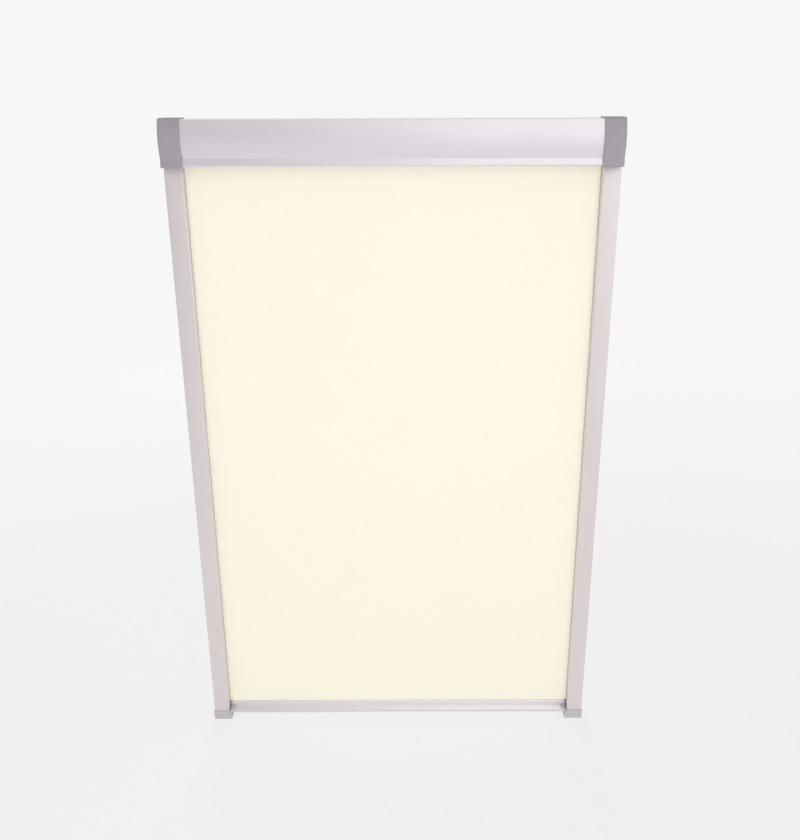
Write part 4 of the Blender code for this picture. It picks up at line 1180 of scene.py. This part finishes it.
@dataclass
class SideChannel:
    """A side channel with its pile seal and its foot."""

    dresser: Dresser
    side: Side
    span: Point = mm(293, 319)
    depth: float = 23 * MM
    wall: float = 1.3 * MM
    guide: Point = mm(294.3, 307.7)
    slot: Point = mm(-12.5, -4.5)
    corner: float = 2.5 * MM
    inner_corner: float = 1 * MM
    chamber_corner: float = 0.8 * MM
    corner_steps: tuple[int, int, int] = (10, 6, 5)
    edge: Easing = Easing(0.15 * MM, 2, 35)
    foot_proud: float = 0.8 * MM
    foot_toe: float = 3.6 * MM
    foot_shoulder: float = 5.5 * MM
    foot_band: float = 3.6 * MM
    foot_corner: float = 3 * MM
    foot_tuck: Point = mm(1.6, 6)
    foot_steps: int = 10
    foot_edge: Easing = Easing(0.8 * MM, 4, 40)
    tongue_x: Point = mm(309.4, 316.2)
    tongue_half: float = 7 * MM
    tongue_z: Point = mm(-3, 28)
    tongue_edge: Easing = Easing(0.8 * MM, 2)
    seal_x: Point = mm(293.1, 294.2)
    seal_y: Point = mm(-12.2, -9.25)
    seal_short: float = 1.3 * MM
    seal_strip: float = 0.6 * MM
    seal_edge: Easing = Easing(0.1 * MM, 1)
    seal_seed: int = 11
    tuft_pitch: float = 1.1 * MM
    tuft_halves: Point = mm(0.42, 0.2)
    tuft_inset: float = 0.05 * MM
    tuft_lean: float = 0.35 * MM
    tuft_short: float = 0.25 * MM

    def build(self) -> None:
        """Builds the channel, the seal in its slot and the foot below it."""
        self.build_profile()
        self.build_seal()
        self.build_foot()

    def profile(self) -> list[Outline]:
        """Draws the channel for the right.

        Returns:
            The sections of its wall and of its closed chamber.
        """
        inner, outer = self.span
        near, far = self.guide
        low, high = self.slot
        front, back = -self.depth + self.wall, -self.wall
        steps = self.corner_steps
        corner = (outer - self.corner, -self.depth + self.corner)
        wall = [(outer, 0.0)] + arc(corner, self.corner, 360, 270, steps[0])
        corner = (inner + self.inner_corner, -self.depth + self.inner_corner)
        wall += arc(corner, self.inner_corner, 270, 180, steps[1])
        wall += [(inner, low), (near, low), (near, front), (far, front)]
        wall += [(far, back), (near, back), (near, high), (inner, high), (inner, 0.0)]
        corners = ((far + self.wall, front), (outer - self.wall, back))
        return [wall, rounded_box(*corners, self.chamber_corner, steps[2])]

    def build_profile(self) -> None:
        """Builds the extruded channel."""
        outlines = [self.side.mirrored(outline) for outline in self.profile()]
        span = (LEVELS.foot_top + GAP, LEVELS.cap_bottom - GAP)
        channel = ease(extrude(Axis.Z, span, *outlines), self.edge)
        # The channel's finish is warmer by a painted reflection.
        self.dresser.place(
            channel,
            "channel_extrusion",
            Body.FRAME,
            Slot.ALUMINIUM,
            "side_channel",
            side=self.side,
            own=self.dresser.upright,
        )

    def build_seal(self) -> None:
        """Builds the seal: a backing strip with tufts of pile that reach for the fabric."""
        low, high = LEVELS.foot_top + self.seal_short, LEVELS.cap_bottom - self.seal_short
        root = self.seal_y[0] + self.seal_strip
        strip = block(self.side, self.seal_x, (self.seal_y[0], root), (low, high))
        seal = together(ease(strip, self.seal_edge), self.build_tufts(root, low, high))
        self.dresser.place(
            seal, "pile_seal", Body.FRAME, Slot.PILE, "light_seal", side=self.side
        )

    def build_tufts(self, root: float, low: float, high: float) -> Object:
        """Builds the seal's tufts, each with its own lean and length.

        Args:
            root: Where they grow from, as Y.
            low: Where the first one is, as Z.
            high: Where the last one is.

        Returns:
            The tufts.
        """
        rng = random.Random(self.seal_seed)
        near, far = self.seal_x[0] + self.tuft_inset, self.seal_x[1] - self.tuft_inset
        corners = self.side.mirrored([(near, -1), (far, -1), (far, 1), (near, 1)])
        wide, narrow = self.tuft_halves
        shape = bmesh.new()
        count = int((high - low) / self.tuft_pitch)
        for i in range(count):
            z = low + (i + 0.5) * (high - low) / count
            lean = rng.uniform(-self.tuft_lean, self.tuft_lean)
            tip = self.seal_y[1] - rng.uniform(0, self.tuft_short)
            rings = [
                [shape.verts.new((x, y, middle + end * half)) for x, end in corners]
                for y, half, middle in ((root, wide, z), (tip, narrow, z + lean))
            ]
            for a in range(4):
                b = (a + 1) % 4
                shape.faces.new((rings[0][a], rings[0][b], rings[1][b], rings[1][a]))
            for ring in rings:
                shape.faces.new(ring)
        bmesh.ops.recalc_face_normals(shape, faces=shape.faces)
        return shaped(shape)

    def foot_outline(self) -> Outline:
        """Draws the foot for the right, with its round toe.

        Returns:
            Its outline, as X and Z.
        """
        outer = self.span[1] + self.foot_proud
        inner = self.span[0] - self.foot_proud
        low, shoulder = LEVELS.foot_bottom, LEVELS.foot_top - self.foot_band
        width, height = self.foot_tuck
        toe, steps = self.foot_toe, self.foot_steps
        corner = (outer - self.foot_corner, low + self.foot_corner)
        outline = arc(corner, self.foot_corner, 0, -90, steps)
        corner = (inner - toe + width, low + height)
        outline += arc(corner, (-width, -height), 90, 0, steps)
        corner = (inner, shoulder - self.foot_shoulder)
        outline += arc(corner, (-toe, self.foot_shoulder), 0, 90, steps)
        return outline + [(inner, LEVELS.foot_top), (outer, LEVELS.foot_top)]

    def build_foot(self) -> None:
        """Builds the moulded foot, with its tongue up the closed chamber."""
        outline = self.side.mirrored(self.foot_outline())
        foot = extrude(Axis.Y, (-self.depth - self.foot_proud, 0), outline)
        y = (-self.depth / 2 - self.tongue_half, -self.depth / 2 + self.tongue_half)
        z = tuple(LEVELS.foot_top + height for height in self.tongue_z)
        tongue = block(self.side, self.tongue_x, y, z)
        foot = together(ease(foot, self.foot_edge), ease(tongue, self.tongue_edge))
        self.dresser.place(
            foot, "foot", Body.FRAME, Slot.LIGHT_GREY, "foot_cap", side=self.side
        )


@dataclass
class SprungRoller:
    """The springs of the roller: the long one that winds it, and the one behind its pin."""

    dresser: Dresser
    torsion: CoilSpring = CoilSpring(mm(-275.1, -122.9), LEVELS.roller, *mm(7.6, 0.6), 112)
    pin: CoilSpring = CoilSpring(mm(283.9, 298.8), LEVELS.roller, *mm(3.9, 0.4), 8)
    pin_seat: float = 283.2 * MM
    pin_collar: float = 299.5 * MM
    pin_push: float = 6.5 * MM

    def build(self) -> None:
        """Builds both springs."""
        spring = self.torsion.wind()
        self.dresser.place(spring, "winding_spring", Body.FRAME, Slot.STEEL, "torsion_spring")
        spring = self.pin.wind()
        self.dresser.place(spring, "pin_spring", Body.ROLLER, Slot.STEEL, "idle_pin_spring")
        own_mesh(spring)


@dataclass
class BlackoutFabric:
    """The fabric: its flat run, the turns left on the roller, and its hem in the bar.

    The ripple's waves are given in radians per metre.
    """

    dresser: Dresser
    width: float = 608 * MM
    thickness: float = 0.35 * MM
    sheet_squares: tuple[int, int] = (62, 90)
    top: float = 6 * MM
    fixed: float = 3.1 * MM
    shoulder: float = -934.1 * MM
    travel: float = 900 * MM
    ripple: float = 0.12 * MM
    still_edges: Point = (0.02, 0.05)
    broad_waves: Point = (21, 9)
    broad_shift: Point = (0.6, 0.4)
    fine_waves: Point = (47, 5)
    fine_share: float = 0.5
    strips: int = 24
    roll_radii: Point = mm(13.325, 12.78)
    roll_turns: float = 1.7
    roll_steps: int = 72
    roll_thickness: float = 0.3 * MM
    hem_width: float = 577.4 * MM
    hem_radius: float = 1.7 * MM
    hem_z: float = LEVELS.bar + 10.6 * MM
    hem_turn: float = 340
    hem_steps: tuple[int, int] = (3, 40)
    hem_thickness: float = 0.28 * MM

    def build(self) -> None:
        """Builds the three lengths of fabric."""
        sheet = self.build_sheet()
        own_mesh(sheet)
        self.build_roll()
        self.build_hem()

    @staticmethod
    def columns(width: float, count: int) -> list[float]:
        """Returns the places along X that part a width into strips."""
        return [width * (i / count - 0.5) for i in range(count + 1)]

    def build_sheet(self) -> Object:
        """Builds the flat run, down to where it narrows to pass between the bar's ends.

        Returns:
            The flat run.
        """
        across, down = self.sheet_squares
        drop = self.top - self.shoulder
        columns = self.columns(self.width, across)
        levels = [self.top - drop * i / down for i in range(down + 1)]
        grid = [[(x, self.depth_at(x, z), z) for x in columns] for z in levels]
        sheet = cloth(grid, self.thickness)
        self.dresser.place(sheet, "blackout_fabric", Body.FRAME, Slot.FABRIC, "fabric_sheet")
        return sheet

    def depth_at(self, x: float, z: float) -> float:
        """Works out the fabric's faint ripple.

        Args:
            x: A place across the fabric.
            z: A place down it.

        Returns:
            How deep its middle lies there, as Y.
        """
        side, end = self.still_edges
        still = min(1.0, (self.top - z) / end, (z - self.shoulder) / end)
        still *= min(1.0, (self.width / 2 - abs(x)) / side)
        (across, down), shift = self.broad_waves, self.broad_shift
        wave = math.sin(x * across + shift[0]) * math.sin(z * down + shift[1])
        across, down = self.fine_waves
        wave += self.fine_share * math.sin(x * across + z * down)
        return LEVELS.fabric_y + self.ripple * still * wave / (1 + self.fine_share)

    def run_across(self, width: float, path: Outline, thickness: float) -> Object:
        """Returns a cloth of a width that follows a path in Y and Z."""
        columns = self.columns(width, self.strips)
        return cloth([[(x, y, z) for x in columns] for y, z in path], thickness)

    def build_roll(self) -> None:
        """Builds the turns left on the roller, wound as one spiral."""
        steps = int(self.roll_steps * self.roll_turns)
        outer, inner = self.roll_radii
        path, length = [], 0.0
        for i in range(steps + 1):
            radius = outer + (inner - outer) * (i / steps)
            turn = math.tau * self.roll_turns * (i / steps)
            y = LEVELS.roller[0] + radius * math.cos(turn)
            z = LEVELS.roller[1] + radius * math.sin(turn)
            path.append((y, z))
            length += radius * math.tau * self.roll_turns / steps if i else 0.0
        roll = self.run_across(self.width, path, self.roll_thickness)
        self.dresser.place(roll, "fabric_on_roller", Body.ROLLER, Slot.FABRIC, "fabric_roll")

    def build_hem(self) -> None:
        """Builds the narrow tail and its hem, folded round the rod in the bar's pocket."""
        down, around = self.hem_steps
        tail = self.shoulder - (self.hem_z + self.hem_radius)
        path = [(LEVELS.fabric_y, self.shoulder - tail * i / down) for i in range(down)]
        centre = (LEVELS.fabric_y, self.hem_z)
        path += arc(centre, self.hem_radius, 90, 90 + self.hem_turn, around)
        hem = self.run_across(self.hem_width, path, self.hem_thickness)
        self.dresser.place(hem, "fabric_hem", Body.BAR, Slot.FABRIC)


@dataclass
class HandleBar:
    """The sliding bar with its ledge, end mouldings and brakes. Its heights are from its level."""

    dresser: Dresser
    height: float = 14.4 * MM
    front: float = -12 * MM
    back: float = -4 * MM
    wall: float = 1.2 * MM
    end: float = 289.7 * MM
    shoulder: float = 0.8 * MM
    fillet: float = 1 * MM
    corner_steps: int = 7
    edge: Easing = Easing(0.14 * MM, 2, 50)
    pocket: Triple = mm(10.6, 2.2, 1.3)
    pocket_steps: int = 24
    chamber_top: float = 7 * MM
    chamber_corner: float = 0.4 * MM
    chamber_steps: int = 3
    ledge_front: float = -24 * MM
    ledge_top: float = 4.5 * MM
    ledge_wall: float = 1.4 * MM
    ledge_end: Point = mm(283.6, 286.6)
    ledge_play: float = 0.01 * MM
    lip_wall: float = 3.6 * MM
    rim: float = 0.4 * MM
    rim_steps: int = 5
    line: Triple = mm(2.7, 3.8, 2.6)
    grip_span: Point = mm(-13.9, -22.9)
    grip_ribs: int = 9
    grip_steps: int = 12
    grip_depth: float = 0.5 * MM
    screw_x: float = 280 * MM
    screw_hole: float = 1.6 * MM
    screw_depth: float = 2.2 * MM
    trim_proud: Point = mm(0.4, 0.7)
    trim_rise: float = 3.7 * MM
    trim_edge: Easing = Easing(0.35 * MM, 4)
    flange: float = 1.4 * MM
    flange_inset: Point = mm(0.25, 0.1)
    flange_edge: Easing = Easing(0.3 * MM)
    plug_end: float = 275 * MM
    neck_y: Point = mm(-8.9, -5)
    neck_inset: Point = mm(2, 0.6)
    block_edge: Easing = Easing(0.3 * MM, 2)
    shoe_x: Point = mm(294.9, 307.2)
    shoe_y: Point = mm(-21.3, -1.9)
    shoe_z: Point = mm(3.6, 14)
    shoe_leg: Point = mm(-9.4, 35)
    shoe_edge: Easing = Easing(0.5 * MM, 3, 50)
    brake: Point = mm(-15.3, 24)
    bore: Point = mm(2.8, 297.5)
    pad: Triple = mm(2, 6, 12)
    pad_edge: Easing = Easing(0.5 * MM)
    pad_nap: float = 0.09 * MM
    pad_cuts: int = 3
    pad_round: float = 70
    pad_seed: int = 5
    pad_seat: float = 303.6 * MM
    pad_outer: float = 307.4 * MM
    pad_press: float = 1.2 * MM
    pad_spring: Triple = mm(0.6, 2, 0.3)
    pad_spring_turns: int = 7

    def build(self) -> None:
        """Builds the bar, and the moulding and the brake at each end."""
        self.build_extrusion()
        for side in Side:
            self.build_end(side)
            self.build_brake(side)

    def section(self) -> list[Outline]:
        """Draws the bar, with its fabric pocket and its hollow.

        Returns:
            The sections of both.
        """
        pocket_z, radius, slot = self.pocket
        y, half = LEVELS.fabric_y, slot / 2
        opening = math.degrees(math.asin(half / radius))
        outline = [(self.back, 0.0), (self.back, self.height), (y + half, self.height)]
        outline += arc(
            (y, pocket_z), radius, 90 - opening, -270 + opening, self.pocket_steps
        )
        outline.append((y - half, self.height))
        corner = (self.front + self.shoulder, self.height - self.shoulder)
        outline += arc(corner, self.shoulder, 90, 180, self.corner_steps)
        corner = (self.front - self.fillet, self.ledge_top + self.fillet)
        outline += arc(corner, self.fillet, 0, -90, self.corner_steps) + self.grip()
        corner = (self.ledge_front + self.rim, self.ledge_top - self.rim)
        outline += arc(corner, self.rim, 90, 180, self.rim_steps)
        low, high, depth = self.line
        front, under = self.ledge_front, self.ledge_top - self.ledge_wall
        outline += [(front, high), (front + depth, high), (front + depth, low), (front, low)]
        outline += [(front, 0.0), (front + self.lip_wall, 0.0), (front + self.lip_wall, under)]
        outline += [(self.front, under), (self.front, 0.0)]
        corners = ((self.front + self.wall, self.wall), (self.back - self.wall, self.chamber_top))
        hollow = rounded_box(*corners, self.chamber_corner, self.chamber_steps)
        return [self.raised(outline), self.raised(hollow)]

    def grip(self) -> Outline:
        """Draws the fine ribs along the ledge's top.

        Returns:
            Their outline, from the bar's face to the ledge's front.
        """
        back, front = self.grip_span
        steps = self.grip_ribs * self.grip_steps
        waves = [(i / steps, math.cos(math.tau * i / self.grip_steps)) for i in range(steps + 1)]
        return [
            (back + (front - back) * share, self.ledge_top - self.grip_depth * (1 - wave) / 2)
            for share, wave in waves
        ]

    @staticmethod
    def raised(outline: Outline) -> Outline:
        """Returns an outline in Y and the bar's own height, at the bar's level."""
        return [(y, z + LEVELS.bar) for y, z in outline]

    def ledge_end_at(self, y: float) -> float:
        """Returns how far out the ledge's slanted end is at a depth."""
        share = (self.front - y) / (self.front - self.ledge_front)
        return self.ledge_end[0] + (self.ledge_end[1] - self.ledge_end[0]) * share

    def run_x(self, side: Side, face: Outline, near: float, far: float) -> Object:
        """Returns an outline at the bar's level, run outwards along X on a side."""
        return extrude(Axis.X, side.span(near, far), self.raised(face))

    @staticmethod
    def cutter(side: Side, outline: Outline, top: float) -> Object:
        """Returns an upright cutter on a side, up to a height from the bar's level."""
        return extrude(Axis.Z, (LEVELS.bar - PAST, LEVELS.bar + top), side.mirrored(outline))

    @staticmethod
    def block(side: Side, x: Point, y: Point, z: Point) -> Object:
        """Returns a block on a side, its height from the bar's level."""
        return block(side, x, y, (LEVELS.bar + z[0], LEVELS.bar + z[1]))

    def build_extrusion(self) -> None:
        """Builds the extruded bar, its ledge cut back on a slant at both ends."""
        bar = extrude(Axis.X, (-self.end, self.end), *self.section())
        low, high = self.ledge_front - PAST, self.front - self.ledge_play
        notch = [(self.ledge_end_at(low), low), (self.end + PAST, low)]
        notch += [(self.end + PAST, high), (self.ledge_end_at(high), high)]
        screw_z = LEVELS.bar + (self.wall + self.chamber_top) / 2
        span = (self.back - self.screw_depth, 0)
        for side in Side:
            place = (side.value * self.screw_x, screw_z)
            hole = rod(Axis.Y, span, place, self.screw_hole)
            cut(bar, self.cutter(side, notch, self.ledge_top + 2 * PAST), hole)
        ease(bar, self.edge)
        # The bar's finish is lighter by painted light.
        own = self.dresser.handle
        self.dresser.place(bar, "bar_extrusion", Body.BAR, Slot.ALUMINIUM, "handle_bar", own=own)

    def build_end(self, side: Side) -> None:
        """Builds the moulding at a bar's end: ledge trim, flange, plug, neck and guide shoe.

        Args:
            side: The bar's end.
        """
        start = self.end + GAP
        finish = start + self.flange
        front, top = self.ledge_front - self.trim_proud[0], self.ledge_top + self.trim_proud[1]
        rise = self.ledge_top + self.trim_rise
        inset, short = self.flange_inset
        face = [(self.back, 0.0), (self.back, self.height), (self.front, self.height)]
        face += [(self.front, rise - inset), (front + inset, top - inset)]
        face += [(front + inset, inset), (self.front, inset), (self.front, 0.0)]
        flange = ease(self.run_x(side, face, start, finish - short), self.flange_edge)
        face = [(self.front - GAP, 0.0), (self.front - GAP, rise), (front, top), (front, 0.0)]
        trim = self.run_x(side, face, self.ledge_end[0], finish)
        low, high, inside = front - PAST, self.front + PAST, self.ledge_end[0] - PAST
        slant = [(inside, low), (self.ledge_end_at(low) + GAP, low)]
        slant += [(self.ledge_end_at(high) + GAP, high), (inside, high)]
        cut(trim, self.cutter(side, slant, rise + PAST))
        ease(trim, self.trim_edge)
        within = self.wall + GAP
        x = (self.plug_end, finish - self.block_edge.width)
        y = (self.front + within, self.back - within)
        plug = self.block(side, x, y, (within, self.chamber_top - GAP))
        sunk, inset = self.neck_inset
        z = (self.shoe_z[0] + inset, self.shoe_z[1] - inset)
        neck = self.block(side, (start + GAP, self.shoe_x[0] + sunk), self.neck_y, z)
        for part in (plug, neck):
            ease(part, self.block_edge)
        moulding = together(flange, trim, plug, neck, self.build_shoe(side))
        self.dresser.place(
            moulding, "bar_moulding", Body.BAR, Slot.LIGHT_GREY, "bar_end", side=side
        )

    def brake_spans(self, around: float = 0) -> tuple[Point, Point]:
        """Returns a brake pad's spans in Y and in height, with more room around it if asked."""
        reaches = [size / 2 + around for size in self.pad[1:]]
        return tuple((middle - reach, middle + reach) for middle, reach in zip(self.brake, reaches))

    def build_shoe(self, side: Side) -> Object:
        """Builds the shoe that fills the guide chamber, its leg hollowed for the brake.

        Args:
            side: The bar's end.

        Returns:
            The shoe.
        """
        front, back = self.shoe_y
        low, high = self.shoe_z
        leg_back, leg_top = self.shoe_leg
        outline = [(back, low), (back, high), (leg_back, high), (leg_back, leg_top)]
        outline += [(front, leg_top), (front, low)]
        shoe = ease(self.run_x(side, outline, *self.shoe_x), self.shoe_edge)
        x = (self.pad_seat, self.shoe_x[1] + PAST)
        pocket = self.block(side, x, *self.brake_spans(GAP))
        centre = (self.brake[0], LEVELS.bar + self.brake[1])
        span = side.span(self.bore[1], self.pad_seat + PAST)
        bore = rod(Axis.X, span, centre, self.bore[0])
        return smooth(cut(shoe, pocket, bore))

    def build_brake(self, side: Side) -> None:
        """Builds the felt pad and the spring behind it.

        Args:
            side: The bar's end.
        """
        inner, start = self.pad_outer - self.pad[0], self.bore[1]
        pad = self.block(side, (inner, self.pad_outer), *self.brake_spans())
        ease(pad, self.pad_edge)
        self.roughen(pad, side)
        body = Body[f"BRAKE_{side.name}"]
        self.dresser.place(pad, "felt_pad", body, Slot.FELT, "brake_pad", side=side)
        play, *size = self.pad_spring
        ends = (side.value * (start + play), side.value * (inner - play))
        centre = (self.brake[0], LEVELS.bar + self.brake[1])
        spring = CoilSpring(ends, centre, *size, self.pad_spring_turns).wind()
        self.dresser.place(
            spring, "pad_spring", Body.BAR, Slot.STEEL, "brake_spring", side=side
        )
        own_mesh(spring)

    def roughen(self, pad: Object, side: Side) -> None:
        """Gives a felt pad its uneven surface, kept inside its own box.

        Args:
            pad: The pad.
            side: The bar's end.
        """
        shape = bmesh.new()
        shape.from_mesh(pad.data)
        bmesh.ops.triangulate(shape, faces=shape.faces)
        cuts = self.pad_cuts
        bmesh.ops.subdivide_edges(shape, edges=shape.edges, cuts=cuts, use_grid_fill=True)
        shape.normal_update()
        rng = random.Random(self.pad_seed + side.value)
        for vert in shape.verts:
            vert.co -= vert.normal * rng.uniform(0, self.pad_nap)
        shape.to_mesh(pad.data)
        shape.free()
        smooth(pad, self.pad_round)


@dataclass(frozen=True)
class Lamp:
    """A square lamp: its place and size, its power in watts, and whether metal mirrors it."""

    name: str
    place: Triple
    size: float
    power: float
    mirrored: bool = False

    def hang(self, target: Triple) -> None:
        """Hangs the lamp.

        Args:
            target: The point that it shines at.
        """
        light = bpy.data.lights.new(self.name, "AREA")
        adjust(light, shape="SQUARE", size=self.size, energy=self.power)
        turn = (Vector(target) - Vector(self.place)).to_track_quat("-Z", "Y").to_euler()
        lamp = link(self.name, light)
        adjust(lamp, location=self.place, rotation_euler=turn, visible_glossy=self.mirrored)


@dataclass(frozen=True)
class Glow:
    """A side of the surround that metal mirrors brighter, from the first match to the last."""

    towards: Triple
    match: Point
    strength: float


@dataclass
class Studio:
    """A pale floor, a pale surround, soft lamps, and the camera.

    The lamps are wide ones around the blind that metal doesn't mirror, and a weak high one.
    """

    floor: PaleFloor = PaleFloor("pale_floor", (0.94, 0.915, 0.905), (0.93, 0.925, 0.945))
    floor_reach: float = 14
    floor_squares: int = 8
    ambient: float = 0.55
    mirrored: float = 0.54
    glows: tuple[Glow, ...] = (
        Glow((0.68, -0.56, 0.6), (0.35, 0.95), 1.22),
        Glow((0.1, 0.75, 0.65), (0.1, 0.8), 1.0),
    )
    lamps: tuple[Lamp, ...] = (
        Lamp("front_lamp", (0.25, -3.2, -0.38), 0.9, 38.0),
        Lamp("back_lamp", (-0.6, 3.2, 0.3), 1.8, 42.0),
        Lamp("left_lamp", (-2.8, -2.4, 0.8), 3.2, 6.0),
        Lamp("high_lamp", (1.0, -2.4, 1.05), 1.8, 4.0, True),
    )
    lamp_target: Triple = (0, 0, -0.45)
    camera_place: Triple = (0.0263, -1.31995, 0.07155)
    camera_turns: Triple = (69.719, -0.014, -0.169)
    focal_pixels: float = 901.87
    centre_column: float = 412.59
    frame_width: float = 800
    sensor: float = 36

    def build(self) -> None:
        """Builds the surround and the camera."""
        self.build_floor()
        self.build_world()
        for lamp in self.lamps:
            lamp.hang(self.lamp_target)
        self.build_camera()

    def build_floor(self) -> None:
        """Builds a wide floor under the feet."""
        shape, squares = bmesh.new(), self.floor_squares
        bmesh.ops.create_grid(shape, x_segments=squares, y_segments=squares, size=self.floor_reach)
        for vert in shape.verts:
            vert.co.z = LEVELS.foot_bottom
        floor = shaped(shape, "floor")
        floor.data.materials.append(self.floor.make())

    def build_world(self) -> None:
        """Builds a pale surround, plain to the eye and a little brighter to the right for metal."""
        world = adjust(bpy.data.worlds.new("pale_surround"), use_nodes=True)
        bpy.context.scene.world = world
        desk = NodeDesk(world.node_tree)
        desk.tree.nodes.clear()
        place = desk.add("TexCoord").outputs["Generated"]
        matches = [desk.dot(place, Vector(glow.towards).normalized()) for glow in self.glows]
        gradient = desk.most(
            *(
                desk.spread(match, self.mirrored, glow.strength, glow.match, soft=True)
                for match, glow in zip(matches, self.glows)
            )
        )
        rays = desk.add("LightPath").outputs
        white, pale = shade((1, 1, 1), 1), shade(self.floor.surround, 1)
        lit, mirrored, seen = (
            desk.add("Background", {"Color": colour, "Strength": strength}).outputs[0]
            for colour, strength in ((white, self.ambient), (white, gradient), (pale, 1.0))
        )
        gloss = desk.most(rays["Is Glossy Ray"], rays["Is Transmission Ray"])
        whole = desk.mix(rays["Is Camera Ray"], desk.mix(gloss, lit, mirrored), seen)
        desk.add("OutputWorld", {"Surface": whole})

    def build_camera(self) -> None:
        """Builds the camera, at the photograph's viewing angle."""
        data = adjust(
            bpy.data.cameras.new("camera"),
            sensor_fit="HORIZONTAL",
            sensor_width=self.sensor,
            lens=self.focal_pixels / self.frame_width * self.sensor,
            shift_x=0.5 - self.centre_column / self.frame_width,
        )
        camera = link("camera", data)
        pitch, yaw, roll = (math.radians(angle) for angle in self.camera_turns)
        turn = Matrix.Rotation(yaw, 4, "Z") @ Matrix.Rotation(pitch, 4, "X")
        turn = turn @ Matrix.Rotation(roll, 4, "Z")
        camera.matrix_world = Matrix.Translation(self.camera_place) @ turn
        bpy.context.scene.camera = camera


def main() -> None:
    """Dresses the blind, piece by piece, and sets it in its studio."""
    logging.basicConfig(level=logging.INFO, format="%(name)s: %(message)s")
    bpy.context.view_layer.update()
    bpy.context.scene.view_settings.view_transform = "Standard"
    Studio().build()
    dresser = Dresser()
    Cassette(dresser).build()
    for side in Side:
        SideChannel(dresser, side).build()
    SprungRoller(dresser).build()
    HandleBar(dresser).build()
    BlackoutFabric(dresser).build()
    dresser.dress_nodes()


if __name__ == "__main__":
    main()
